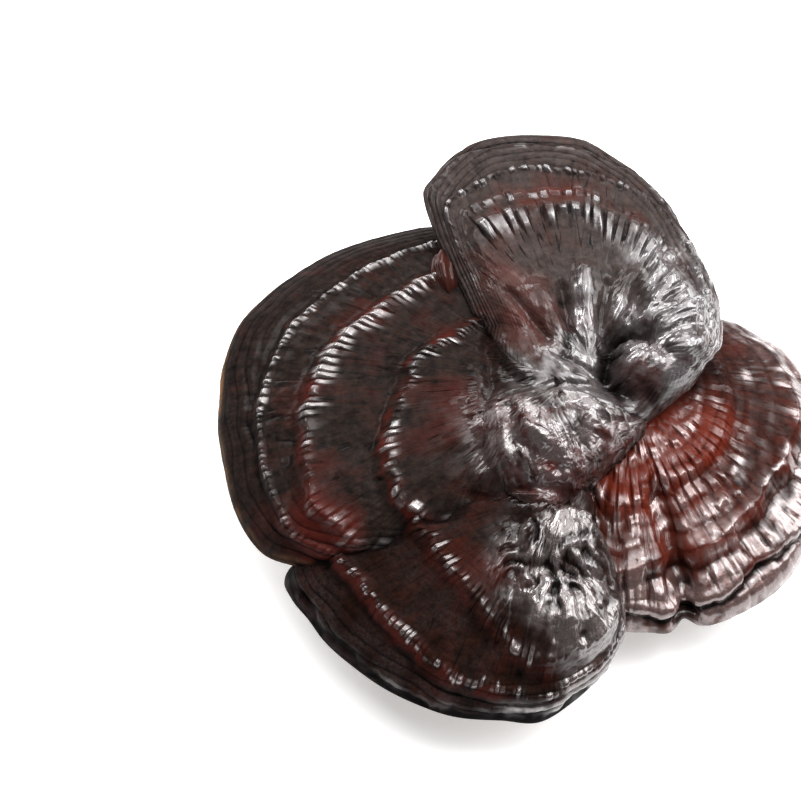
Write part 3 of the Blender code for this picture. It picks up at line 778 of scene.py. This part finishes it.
def redCrests(cap, world, bearing, aways):
    # red on each crest and, fainter, on both sides of it
    behind = 0
    for away, ledge in zip(aways, cap["ledges"]):
        strength = ledge["reddens"] * np.clip(between(ledge["shine"], bearing), 0, 1.6)
        sharp = 0.6 * hump((away - 0.35 * ledge["scarp"]) / 1.3)
        behind = behind + strength * (sharp + 0.42 * hump((away - 1.0) / 4.0))
    return behind * np.clip(0.75 + 1.3 * octaves(world / 9.0 + 60, 2), 0.1, 1.5)


def knotSpots(cap, kind, world):
    return cap["knotShare"] * spots(knot[kind], world[..., 0], world[..., 1])


def capSkin(cap):
    bearing = spokeBearings(cap["rim"], build["spokes"])
    radius = around(cap["rim"], bearing)
    reach, height, top = capRings(cap, bearing, radius)
    angle = np.radians(bearing)
    x, y = reach * np.cos(angle), reach * np.sin(angle)
    z = cap["rimHeight"] + cap["slope"][0] * x + cap["slope"][1] * y
    points = joined(x, y, z + height)
    index = np.arange(len(reach))[:, None]
    onTop = np.where(index < top, 1.0, 0.0)
    held = np.where(index < top - 1, 1.0, np.where(index == top - 1, relief["heldAtRim"], 0.0))
    lipTurn = np.clip((index - top + 1) / build["lipSteps"], 0, 1)
    crusted = 1 - smoothStep(8.0 * lipTurn - 7.0)  # crust, against pores
    share = np.clip(reach / radius, 0, 1)

    # ledges, folds and lumps, as in the solids
    grown = smoothStep((radius - build["buried"]) / build["buried"])
    wobble = waver(joined(x, y, 0.0) / 9.0 + 3.3)
    wobble = wobble + 0.5 * waver(spread(bearing, reach, 2.6, 40.0, 3.0))
    crests = [around(ledge["crest"], bearing) * radius for ledge in cap["ledges"]]
    aways = [reach - crest + wobble for crest in crests]
    faded = between(cap["ledgesAt"], bearing)
    rise = sum(grown * faded * ledgeRise(away, ledge) for away, ledge in zip(aways, cap["ledges"]))
    rise += ridged(cap["folds"], x, y) + mounds(cap["lumps"], x, y)
    rise += cap["knotShare"] * knotRise(points + (*cap["hub"], 0.0))
    points = points + outward(points) * (rise * held)[..., None]

    # round ribs over the crests, with narrow gaps between them
    world = points + (*cap["hub"], 0.0)
    slow = waver(world / 19.0)
    turnedBy = bearing
    for spacing, length, offset, degrees in relief["wander"]:
        turnedBy = turnedBy + degrees * waver(spread(bearing, reach, spacing, length, offset))
    beat = np.abs(np.sin(math.pi * turnedBy / cap["ribEvery"])) ** 0.7
    ribs = (beat - 0.65) * (1 + 0.8 * waver(spread(bearing, reach, 3.0, 16.0, 31.0)))
    ribs = ribs + 0.5 * waver(spread(bearing, reach, 3.6, 20.0, 31.0))
    opened = smoothStep((reach - cap["calm"]) / relief["opens"])
    ribbed = between(cap["ribsAt"], bearing)
    fine = cap["ribs"] * opened * ribbed * ribs * (1.0 + 0.5 * slow)
    crestShine, foot = addCrests(cap, fine, world, bearing, turnedBy, aways, ribbed)
    fromEdge = np.where(index < top, radius - reach, cap["lip"][0] * lipTurn * 1.3)
    fine += cap["roll"] * hump((fromEdge - cap["rimRoll"]) / (0.8 * cap["rimRoll"]))
    # rounded growth rings with narrow grooves between them, plainest near the rim
    warp = reach * radius.max() / np.maximum(radius, 0.38 * radius.max()) + 1.4 * waver(world / 15.0)
    shift = waver(joined(np.cos(angle) * 1.6, np.sin(angle) * 1.6, reach / 30.0))
    phase = warp / cap["ringWidth"] + 0.8 * shift
    outer = smoothStep((share - cap["ringsFrom"]) / relief["outerOver"])
    ringed = np.abs(np.sin(math.pi * phase)) ** 0.6 - 0.7
    ringHeight = cap["rings"] * between(cap["ringsAt"], bearing) * (relief["innerRings"] + outer)
    fine += ringHeight * ringed * (0.75 + 0.5 * waver(world / 14.0 + 9.0))
    wrinkle, crack = wrinklesOf(bearing, warp)
    plain = opened * (1 - 0.8 * outer)
    fine += plain * cap["wrinkles"] * wrinkle * (0.75 + 0.5 * waver(world / 12.0 + 5.0))
    fine -= plain * cap["cracks"] * crack
    # crumples
    folded = np.clip(spots(cap["crumples"], x, y) + knotSpots(cap, "crumples", world), 0, 1)
    folds = crumple(world)
    fine += cap["foldHeight"] * folded * folds
    high, size = relief["grain"]
    fine += high * octaves(world / size, 2)
    fade = grown * (1 - relief["buriedShare"]) + relief["buriedShare"]
    shown = fine * fade * onTop * smoothStep(reach / relief["smoothHub"])
    points = points + outward(points) * shown[..., None]
    world = points + (*cap["hub"], 0.0)
    under = np.where(index >= top + build["lipSteps"], 1.0, 0.0)
    points[..., 2] += under * sum(high * waver(world / size + 90.0) for high, size in relief["waves"])

    # where the lacquer shines, reddens and is dusted, where the margin is, and where the hollows get
    # painted shade
    onRib = 1 + ribbed * np.clip(1.5 * beat - 1, -0.85, 0.2)
    glossy = cap["gloss"] + spots(cap["shineSpots"], x, y) + knotSpots(cap, "shine", world)
    rimShine = between(cap["rimShine"], bearing) * hump((fromEdge - cap["rimRoll"]) / cap["rimRoll"])
    pleated = 1 + cap["ribs"] * 2.2 * opened * (onRib * (0.4 + 1.1 * np.abs(ringed + 0.7)) - 1)
    shine = (glossy * pleated + rimShine) * patchy(world) + crestShine
    shine = shine * (1 - 0.5 * lipTurn) * (1 - 0.9 * np.clip(foot, 0, 1))
    shine = shine * onFolds(folds, folded)
    shine = shine * np.clip(1 + 1.5 * ringHeight * ringed, 0.1, 1.6)
    # the "deep" spots are painted shade: they darken the colour and take the gloss away
    shaded = np.clip(spots(cap["deep"], x, y), 0, 1)
    shine = np.clip(shine, 0, 1) ** cap["crisp"] * (1 - 0.85 * shaded)
    red = cap["redBehind"] * redCrests(cap, world, bearing, aways) + spots(cap["redSpots"], x, y)
    red = red + 0.22 * octaves(world / 13.0 + 50, 4) + knotSpots(cap, "red", world)
    dust = cap["bloom"] * (0.6 + 0.9 * octaves(world / 11.0 + 80, 3)) - 0.5 * folded
    dust = dust * (0.4 + 0.6 * outer) + spots(cap["greySpots"], x, y)
    margin = hump((fromEdge - 0.5) / 0.8) * between(cap["ochre"], bearing)
    margin = margin * np.clip(0.6 + 1.2 * octaves(world / 5.0 + 70, 3), 0.0, 1.1)
    # painted shade: darker where the relief dips, in cracks, at the ledges' feet and at the "deep" spots
    paintedShade = np.clip(-1.3 * (fine + 0.1), 0, 1) + 0.8 * plain * crack + shaded + foot
    growing = cap["ringLines"] * (0.12 + outer) * onTop * crusted
    masks = np.clip(joined(shine, red, dust, margin, 1 - crusted, paintedShade), 0, 1)
    fibrous = cap["fibres"] * onTop * (1 - 0.75 * outer)
    masks = np.concatenate([masks, joined(phase, growing, fibrous)], axis=-1)
    hub = np.array([*cap["hub"], 0.0])
    return {
        "points": points + hub, "start": points[0].mean(axis=0) + hub,
        "end": points[-1].mean(axis=0) + hub, "masks": masks, "top": onTop + 0 * reach,
    }


stem = {
    "slot": "stem_crust",
    "spokes": 380,
    "rings": 170,
    # height, centre x and y, half width along x and y
    "levels": (
        (0.0, 0.0, 0.0, 29.0, 27.0), (3.0, 0.0, 0.0, 30.0, 28.5), (11.0, 0.0, -1.0, 27.0, 26.0),
        (20.0, 0.0, -2.0, 27.5, 26.5), (30.0, 1.0, -5.0, 29.0, 27.0),
        (44.0, 1.0, -11.0, 28.0, 25.0), (53.0, 1.5, -14.5, 29.0, 24.0),
        (57.0, 1.5, -15.5, 29.0, 24.0), (60.0, 1.5, -16.0, 27.0, 22.0),
        (62.3, 1.5, -16.0, 23.5, 19.0), (64.4, 2.0, -16.0, 18.5, 14.5),
        (66.3, 2.0, -16.0, 12.5, 10.0), (67.4, 2.0, -16.0, 7.0, 5.5), (68.0, 2.0, -16.0, 1.0, 0.8),
    ),
    "crown": (48.0, 14.0),  # the height at which the crumpled crown starts, and over which it does
    "pressed": (28.0, 14.0),  # the same for its pressed side
    "lobes": ((3, 0.035, 20.0), (5, 0.03, 75.0), (8, 0.018, 10.0)),  # how many, how deep, turned by
    "foldHeight": 0.85,
    "lumped": 0.4,  # the share of the lumps' heights that is used
    # x, y, radius and height
    "crownLumps": (
        (-14.0, -10.0, 7.0, 2.8), (-2.0, -7.0, 6.0, -2.4), (9.0, -9.0, 7.0, 3.0),
        (20.0, -14.0, 6.0, -1.8), (17.0, -24.0, 7.0, 2.2), (4.0, -19.0, 5.0, -2.8),
        (-7.0, -21.0, 6.0, 2.4), (-15.0, -24.0, 6.0, -2.2), (4.0, -30.0, 6.0, 1.8),
    ),
    "tones": {
        "dark": (0.008, 0.005, 0.0045), "brown": (0.027, 0.015, 0.011), "red": (0.056, 0.010, 0.008),
        "sheen": (0.17, 0.145, 0.145), "metal": 0.5,
    },
}


def stemSkin():
    levels = np.array(stem["levels"])
    run = np.concatenate([[0.0], np.cumsum(np.hypot(np.diff(levels[:, 0]), np.diff(levels[:, 3])))])
    at = np.concatenate([[0.0, 0.3, 0.8], np.linspace(1.6, run[-1], stem["rings"] - 3)])
    slopes = np.gradient(levels, run, axis=0)
    i = np.clip(np.searchsorted(run, at, side="right") - 1, 0, len(run) - 2)
    step = (run[i + 1] - run[i])[:, None]
    u = (at - run[i])[:, None] / step
    rows = eased(u, levels[i], levels[i + 1], step * slopes[i], step * slopes[i + 1])
    turn = np.arange(stem["spokes"]) * 2 * math.pi / stem["spokes"]
    lobes = 1.0 + sum(s * np.sin(n * turn + math.radians(phase)) for n, s, phase in stem["lobes"])
    height = rows[:, :1]
    x = rows[:, 1:2] + rows[:, 3:4] * lobes * np.cos(turn)
    y = rows[:, 2:3] + rows[:, 4:5] * lobes * np.sin(turn)
    lumps = sum(h * hump(np.hypot(x - px, y - py) / r) for px, py, r, h in stem["crownLumps"])
    crown = smoothStep((height - stem["crown"][0]) / stem["crown"][1])
    limit, press = knot["pressed"]
    side = ((x - knot["centre"][0] + 2.0) - (y - knot["centre"][1] + 6.0)) * math.sqrt(0.5)
    pressing = smoothStep((height - stem["pressed"][0]) / stem["pressed"][1])
    over = pressing * press * np.logaddexp(0.0, side - limit)
    x, y = x - over * math.sqrt(0.5), y + over * math.sqrt(0.5)
    points = joined(x, y, height + stem["lumped"] * crown * lumps)
    points[..., 2] += crown * knotRise(points)
    aboveCut = smoothStep(height / 3.0)
    barkAt = joined(np.cos(turn) * 7, np.sin(turn) * 7, height / 17.0)
    fine = aboveCut * (1 - crown) * (0.5 * waver(barkAt) - 0.35 * pillows(barkAt * (2.3, 2.3, 1.4)))
    fine += aboveCut * 0.3 * waver(points / 3.1)
    folds = crumple(points)
    fine += crown * stem["foldHeight"] * folds
    points = points + outward(points) * fine[..., None]
    points[..., 2] = np.maximum(points[..., 2], 0.0)
    points[0, :, 2] = 0.0
    cut = np.where(np.arange(len(at))[:, None] == 0, 1.0, 0.0) + 0 * x
    shine = 0.45 * (1 - crown) + crown * spots(knot["shine"], x, y)
    shine = shine * patchy(points)
    shine = shine * onFolds(folds, crown)
    # painted light: the pressed edge over the right cap gets extra grey dust, as if lit, on a side that
    # the lamps leave dark
    edge = hump((side - limit - 1.0) / 4.0) * smoothStep((height - 40.0) / 12.0)
    red = 0.2 + 0.5 * octaves(points / 13.0 + 50, 4) + crown * spots(knot["red"], x, y)
    dust = 0.25 + 0.3 * octaves(points / 9.0 + 80, 3) - 0.3 * crown + 1.3 * edge
    # painted shade, darker where the relief dips
    paintedShade = np.clip(-0.9 * (fine + 0.2), 0, 1)
    masks = np.clip(joined(shine, red, dust, 0.0, cut, paintedShade), 0, 1)
    masks = np.concatenate([masks, joined(0 * x, 0.0, 0.3)], axis=-1)
    peak = points[-1].mean(axis=0)
    return {
        "points": points, "start": np.array([0.0, 0.0, 0.0]), "end": peak,
        "masks": masks, "top": np.where(height > 20.0, 1.0, 0.0) + 0 * x,
    }


skins = {"stem": stemSkin()}
for name, cap in caps.items():
    skins[name] = capSkin(cap)
    print("grown:", name, skins[name]["points"].shape)


meeting = {
    "crownBlend": 28.0,  # how softly they run together at the crown
    "farBlend": 1.2,  # and away from it
    "softest": (-14.0, -10.0, 27.0),  # where the crown runs on into the caps: x, y, radius
    "frontFrom": (-40.0, 14.0),  # before this y, the valley to the front cap stays sharp
    "apart": {("cap_back", "cap_right")},  # these two only lie over each other
    "seamShade": (4.0, 1.3),  # how near a point is to a seam at all, and the half width of the painted shade along it
    "overAll": 120.0,  # a height over all of it, to look down from
}


def surfaceTree(skin):
    points = skin["points"]
    flat = np.concatenate([points.reshape(-1, 3), [skin["start"], skin["end"]]])
    return BVHTree.FromPolygons(flat.tolist(), ringedFaces(*points.shape[:2]))


trees = {name: surfaceTree(skin) for name, skin in skins.items()}


def fromSoftest(points):
    x, y, radius = meeting["softest"]
    return np.hypot(points[..., 0] - x, points[..., 1] - y) / radius


def meetingOf(name):
    # how far each point of a piece rises where another comes close, and how much painted shade its seam
    # gets there
    points = skins[name]["points"].reshape(-1, 3)
    lift, seamShade = np.zeros(len(points)), np.zeros(len(points))
    soft = hump(fromSoftest(points))
    soft *= smoothStep((points[:, 1] - meeting["frontFrom"][0]) / meeting["frontFrom"][1])
    blend = meeting["farBlend"] + meeting["crownBlend"] * soft
    seamReach, seamHalf = meeting["seamShade"]
    for other, tree in trees.items():
        if other == name or (name, other) in meeting["apart"] or (other, name) in meeting["apart"]:
            continue
        low = skins[other]["points"].reshape(-1, 3).min(axis=0) - 1
        high = skins[other]["points"].reshape(-1, 3).max(axis=0) + 1
        inside = np.all((points[:, :2] > low[:2]) & (points[:, :2] < high[:2]), axis=1)
        inside &= skins[name]["top"].ravel() > 0.5
        for i in np.nonzero(inside)[0]:
            x, y, z = points[i]
            found = tree.ray_cast(Vector((x, y, meeting["overAll"])), Vector((0, 0, -1)))[0]
            if found is None:
                continue
            off = abs(z - found.z)
            if off < blend[i]:
                lift[i] = max(lift[i], 0.25 * blend[i] * (1 - off / blend[i]) ** 2)
            if off < seamReach:
                seamShade[i] = max(seamShade[i], math.exp(-((off / seamHalf) ** 2)))
    return lift, seamShade


meetings = {name: meetingOf(name) for name in skins}
for name, (lift, seamShade) in meetings.items():
    skin = skins[name]
    shape = skin["points"].shape[:2]
    skin["points"][..., 2] += lift.reshape(shape)
    # painted shade along the seams, away from the soft crown: darker and less glossy
    dark = seamShade.reshape(shape) * smoothStep(fromSoftest(skin["points"]) - 0.6)
    skin["masks"][..., 5] = np.clip(skin["masks"][..., 5] + 0.9 * dark, 0, 1)
    skin["masks"][..., 0] *= 1 - 0.8 * dark
print("grown together")


class Socket:
    # wraps a node's output, so that sums and products of values add their Math nodes
    def __init__(self, tree, socket):
        self.tree = tree
        self.socket = socket

    def math(self, operation, other=None, swap=False, clamp=False):
        values = [self] if other is None else [self, other]
        settings = {"operation": operation, "use_clamp": clamp}
        return self.tree.add("ShaderNodeMath", settings, *(values[::-1] if swap else values))

    def __add__(self, other):
        return self.math("ADD", other)

    def __radd__(self, other):
        return self.math("ADD", other)

    def __sub__(self, other):
        return self.math("SUBTRACT", other)

    def __rsub__(self, other):
        return self.math("SUBTRACT", other, swap=True)

    def __mul__(self, other):
        return self.math("MULTIPLY", other)

    def __rmul__(self, other):
        return self.math("MULTIPLY", other)

    def __pow__(self, other):
        return self.math("POWER", other)

    def kept(self):
        return self.math("ADD", 0.0, clamp=True)  # between 0 and 1

    def out(self, name):
        return Socket(self.tree, self.socket.node.outputs[name])


class Finish:
    # one material: nodes are added by type, settings first, then sockets by order or name
    def __init__(self, name):
        self.material = bpy.data.materials.new(name)
        self.material.use_nodes = True
        self.nodes = self.material.node_tree.nodes
        self.links = self.material.node_tree.links
        self.shader = self.nodes["Principled BSDF"]

    def add(self, kind, settings, *values, **named):
        node = self.nodes.new(kind)
        for key, value in settings.items():
            setattr(node, key, value)
        for key, value in [*enumerate(values), *named.items()]:
            self.feed(node.inputs[key], value)
        return Socket(self, node.outputs[0])

    def feed(self, socket, value):
        if isinstance(value, Socket):
            self.links.new(value.socket, socket)
        elif isinstance(value, (tuple, list)) and len(value) == 3 and socket.type == "RGBA":
            socket.default_value = (*value, 1.0)
        else:
            socket.default_value = value

    def set(self, name, value):
        self.feed(self.shader.inputs[name], value)

    def vector(self, operation, *values, **named):
        return self.add("ShaderNodeVectorMath", {"operation": operation}, *values, **named)

    def noise(self, place, scale, detail=3.0, roughness=0.55):
        named = {"Vector": place, "Scale": scale, "Detail": detail, "Roughness": roughness}
        return self.add("ShaderNodeTexNoise", {}, **named)

    def mix(self, share, first, second, blend="MIX"):
        node = self.add("ShaderNodeMix", {"data_type": "RGBA", "blend_type": blend}).socket.node
        self.feed(node.inputs[0], share)
        self.feed(node.inputs[6], first)
        self.feed(node.inputs[7], second)
        return Socket(self, node.outputs[2])

    def split(self, layer):
        # the three values of a painted layer
        color = self.add("ShaderNodeAttribute", {"attribute_name": layer})
        parts = self.add("ShaderNodeSeparateColor", {}, color)
        return parts, parts.out("Green"), parts.out("Blue")

    def bump(self, height, strength, distance, normal=None):
        named = {"Strength": strength, "Distance": distance, "Height": height}
        if normal is not None:
            named["Normal"] = normal
        return self.add("ShaderNodeBump", {}, **named)


crust = {
    # noises and pores: cells to a metre, detail and roughness
    "grain": (330.0, 5.0, 0.62),
    "speck": (900.0, 4.0, 0.6),
    "patch": (55.0, 3.0),
    "stain": (26.0, 5.0, 0.6),
    "pores": 1800.0,
    "zones": 520.0,  # radians to a metre
    "fibres": ((36.0, 80.0), (70.0, 120.0)),  # cells to a radian round the hub, and to a metre outwards
    "bloomColor": (0.048, 0.040, 0.040),
    "shadeAndLineColor": (0.002, 0.0015, 0.0015),
    "poreColor": (0.24, 0.15, 0.085),
    "stainColor": (0.085, 0.045, 0.024),
    "holeColor": (0.05, 0.028, 0.016),
    "cutColor": (0.20, 0.12, 0.07),
    "dustCover": 0.55,
    "ringWaver": 0.16,  # how far the grain pushes the rings
    "grooveSharp": 2.0,
    "grooveDark": 1.5,
    "paintedShadeDark": 0.92,
    "poreSharp": 2.6,
    "bareRough": 0.62,  # roughness without lacquer
    "lacquerSmooth": 0.36,  # what full shine takes from it
    "coatGain": 1.1,
    "coatRough": 0.16,
    "coatIor": 1.8,
    "silverPower": 1.6,  # higher keeps the silver to the strongest shine
    "specular": 0.01,
    # strength and depth of each relief, in metres
    "fineRelief": (0.35, 0.0006),
    "fibreRelief": (0.5, 0.0012),
    "grainRelief": (0.35, 0.0015),
    "ringRelief": (0.8, 0.0012),
}


def crustFinish(name, tones, hub, marginColor, underColor):
    finish = Finish(name)
    shine, red, dust = finish.split("crust")
    margin, pores, paintedShade = finish.split("edge")
    phase, growing, fibrous = finish.split("growth")
    place = finish.add("ShaderNodeTexCoord", {}).out("Object")
    grain, speck, patch, stain = [
        finish.noise(place, *crust[kind]) for kind in ("grain", "speck", "patch", "stain")
    ]
    # fibres that run outwards from the hub
    offset = finish.vector("SUBTRACT", place, (hub[0] * mm, hub[1] * mm, 0.0))
    flat = finish.vector("MULTIPLY", offset, (1.0, 1.0, 0.0))
    way = finish.vector("NORMALIZE", flat)
    reach = finish.vector("LENGTH", flat).out("Value")
    fibres = []
    for turns, length in crust["fibres"]:
        wound = finish.vector("SCALE", way, Scale=turns)
        out = finish.add("ShaderNodeCombineXYZ", {}, 0.0, 0.0, reach * length)
        fibres.append(finish.noise(finish.vector("ADD", wound, out), 1.0, 2.0))
    fibre = 0.5 * fibres[0] + 0.5 * fibres[1]

    # growth rings: rounded, with a dark line in the groove between one and the next, partly painted shade
    pushed = phase + crust["ringWaver"] * (grain - 0.5)
    ring = (pushed * math.pi).math("SINE").math("ABSOLUTE")
    groove = (1 - crust["grooveSharp"] * ring).kept() * growing

    # the lacquer: dark to brown, reddened, dusted, and with a paler margin
    color = finish.mix((2.4 * grain + 1.2 * fibre - 1.3).kept(), tones["dark"], tones["brown"])
    reddened = (1.2 * red + 0.9 * (patch - 0.5) + 0.9 * (fibre - 0.5) - 0.08).kept()
    color = finish.mix(reddened, color, tones["red"])
    # grey dust; on the stem's pressed edge the same grey is painted light
    dusted = (dust * (2.6 * speck - 0.75) * (1.3 - fibre)).kept() * (1 - 0.7 * shine)
    color = finish.mix(dusted * crust["dustCover"], color, crust["bloomColor"])
    color = finish.mix((margin * (0.5 + speck)).kept(), color, marginColor)

    # the underside: fine pores, faint zones and brown stains
    cells = finish.add("ShaderNodeTexVoronoi", {}, Vector=place, Scale=crust["pores"])
    hole = (1 - crust["poreSharp"] * cells).kept() * pores
    zone = (reach * crust["zones"] + 6.0 * patch).math("SINE")
    stained = (2.4 * stain + 0.12 * zone + 0.5 * grain - 1.05).kept()
    below = finish.mix(hole, finish.mix(stained, underColor, crust["stainColor"]), crust["holeColor"])
    color = finish.mix(pores, color, below)
    # painted shade in the hollows, and the dark growth lines, which are partly painted shade in their
    # grooves
    darkened = crust["paintedShadeDark"] * paintedShade + crust["grooveDark"] * groove
    shadeAndLines = (darkened * (1 - pores)).kept()
    color = finish.mix(shadeAndLines, color, crust["shadeAndLineColor"])

    # a clear coat where it shines, over a silvery metallic share that follows the relief
    rough = crust["bareRough"] - crust["lacquerSmooth"] * shine
    finish.set("Roughness", (rough + 0.25 * (speck - 0.5) + 0.2 * pores).kept())
    coat = crust["coatGain"] * shine * (0.6 + 0.6 * grain)
    finish.set("Coat Weight", (coat * (1 - pores)).kept())
    finish.set("Coat Roughness", crust["coatRough"])
    finish.set("Coat IOR", crust["coatIor"])
    strongest = (shine * (0.5 + grain)).kept() ** crust["silverPower"]
    silver = tones["metal"] * (strongest * (1 - pores))
    finish.set("Base Color", finish.mix(silver, color, tones["sheen"]))
    finish.set("Metallic", silver)
    finish.set("Specular IOR Level", crust["specular"])
    normal = finish.bump(speck, *crust["fineRelief"])
    normal = finish.bump(fibre * fibrous - 0.5 * hole, *crust["fibreRelief"], normal)
    normal = finish.bump(grain, *crust["grainRelief"], normal)
    finish.set("Normal", finish.bump(growing * ring**0.6, *crust["ringRelief"], normal))
    return finish.material


def grow(name, data, hub, marginColor, underColor):
    skin = skins[name]
    mesh = skinMesh(name + "Skin", skin["points"], skin["start"], skin["end"], skin["masks"])
    piece = bpy.data.objects.new(name + "Skin", mesh)
    bpy.context.scene.collection.objects.link(piece)
    mesh.materials.append(crustFinish(name + "Crust", data["tones"], hub, marginColor, underColor))
    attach(piece, "root")
    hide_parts(name)
    print("placed:", piece.name, len(mesh.polygons), "faces")
    return piece


for name, cap in caps.items():
    grow(name, cap, cap["hub"], cap["marginColor"], crust["poreColor"])
grow("stem", stem, knot["centre"], crust["cutColor"], crust["cutColor"])

# the small rolled curl on the left edge of the back cap
curl = {
    "at": (-38.5, 55.0, 55.0),
    "half": (5.8, 10.0, 6.5),
    "turn": 6.0,
    "rings": 60,
    "spokes": 90,
    "creases": ((-105.0, 0.02, 2.2), (-45.0, 0.012, 1.0)),  # bearing, width and depth, running lengthways
    "ribHeight": 0.35,
    "uneven": (0.3, 3.0),  # height and size
    # as a cap's: shine, red, dust, then margin, pores, painted shade, then phase, growing, fibrous
    "masks": (0.2, 1.0, 0.1, 0.0, 0.0, 0.0, 0.0, 0.0, 0.0),
    "tones": {
        "dark": (0.010, 0.005, 0.004), "brown": (0.026, 0.012, 0.009), "red": (0.038, 0.010, 0.007),
        "sheen": (0.17, 0.12, 0.11), "metal": 0.1,
    },
}


def curlSkin():
    down = np.linspace(0.02, math.pi - 0.02, curl["rings"])[:, None]
    turn = np.arange(curl["spokes"]) * 2 * math.pi / curl["spokes"]
    unit = joined(np.sin(down) * np.cos(turn), -np.cos(down), -np.sin(down) * np.sin(turn))
    points = unit * curl["half"]
    ribs = pillows(joined(np.cos(turn) * 2.6, np.sin(turn) * 2.6, down * 0.6))
    ribs = curl["ribHeight"] * ribs
    creases = 0 * turn
    for at, wide, deep in curl["creases"]:
        creases = creases + hump((np.cos(turn - math.radians(at)) - 1) / wide) * deep
    ribs = ribs - creases * np.sin(down)
    high, size = curl["uneven"]
    points += outward(points) * (ribs + high * waver(points / size))[..., None]
    x, y = turned(points[..., 0], points[..., 1], -curl["turn"])
    return joined(x, y, points[..., 2]) + curl["at"]


curlPoints = curlSkin()
curlMasks = np.zeros((*curlPoints.shape[:2], 9)) + curl["masks"]
curlEnds = [curlPoints[i].mean(axis=0) for i in (0, -1)]
curlMesh = skinMesh("curlTab", curlPoints, *curlEnds, curlMasks)
curlTab = bpy.data.objects.new("curlTab", curlMesh)
bpy.context.scene.collection.objects.link(curlTab)
curlMesh.materials.append(
    crustFinish("curlCrust", curl["tones"], capBack["hub"], capBack["marginColor"], crust["poreColor"])
)
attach(curlTab, "root")
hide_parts("cap_back")
print("placed:", curlTab.name)

studio = {
    "aim": (-0.055, 0.012, 0.042),
    "elevation": 60.0,
    "distance": 0.66,
    "lens": 85.0,
    "sensor": 36.0,
    "floor": 4.0,  # half its side, in metres
    # name: place, size, radiance
    "lights": {
        "overhead": ((0.2, 0.32, 1.22), (1.5, 1.45), 3.7),
        "spark": ((0.30, 0.05, 1.2), (0.35, 0.25), 14.0),
        "backLeft": ((-0.85, 1.0, 0.95), (0.9, 0.5), 15.0),
        "back": ((0.15, 1.4, 0.8), (0.9, 0.35), 8.0),
        "right": ((1.15, 0.5, 0.85), (1.1, 0.9), 8.0),
    },
    "surround": 0.12,
    "paper": {
        "Base Color": (0.86, 0.86, 0.86), "Roughness": 0.9, "Specular IOR Level": 0.1,
        "Emission Color": (1.0, 1.0, 1.0), "Emission Strength": 0.45,
    },
}
floorMesh = bpy.data.meshes.new("floor")
half = studio["floor"]
corners = [(-half, -half, 0), (half, -half, 0), (half, half, 0), (-half, half, 0)]
floorMesh.from_pydata(corners, [], [(0, 1, 2, 3)])
floor = bpy.data.objects.new("floor", floorMesh)
bpy.context.scene.collection.objects.link(floor)
paper = Finish("paper")
for socket, value in studio["paper"].items():
    paper.set(socket, value)
floorMesh.materials.append(paper.material)

aim = Vector(studio["aim"])
for name, (place, size, radiance) in studio["lights"].items():
    light = bpy.data.lights.new(name, "AREA")
    light.shape = "RECTANGLE"
    light.size, light.size_y = size
    light.energy = radiance * math.pi * size[0] * size[1]
    lamp = bpy.data.objects.new(name, light)
    lamp.location = place
    lamp.rotation_euler = (aim - Vector(place)).to_track_quat("-Z", "Y").to_euler()
    bpy.context.scene.collection.objects.link(lamp)
world = bpy.data.worlds.new("surround")
world.use_nodes = True
world.node_tree.nodes["Background"].inputs["Color"].default_value = (1.0, 1.0, 1.0, 1.0)
world.node_tree.nodes["Background"].inputs["Strength"].default_value = studio["surround"]
bpy.context.scene.world = world
bpy.context.scene.view_settings.view_transform = "Standard"

tilt = math.radians(studio["elevation"])
camera = bpy.data.objects.new("camera", bpy.data.cameras.new("camera"))
camera.data.lens = studio["lens"]
camera.data.sensor_width = studio["sensor"]
camera.location = aim + studio["distance"] * Vector((0.0, -math.cos(tilt), math.sin(tilt)))
camera.rotation_euler = (math.pi / 2 - tilt, 0.0, 0.0)
bpy.context.scene.collection.objects.link(camera)
bpy.context.scene.camera = camera
print("studio set")
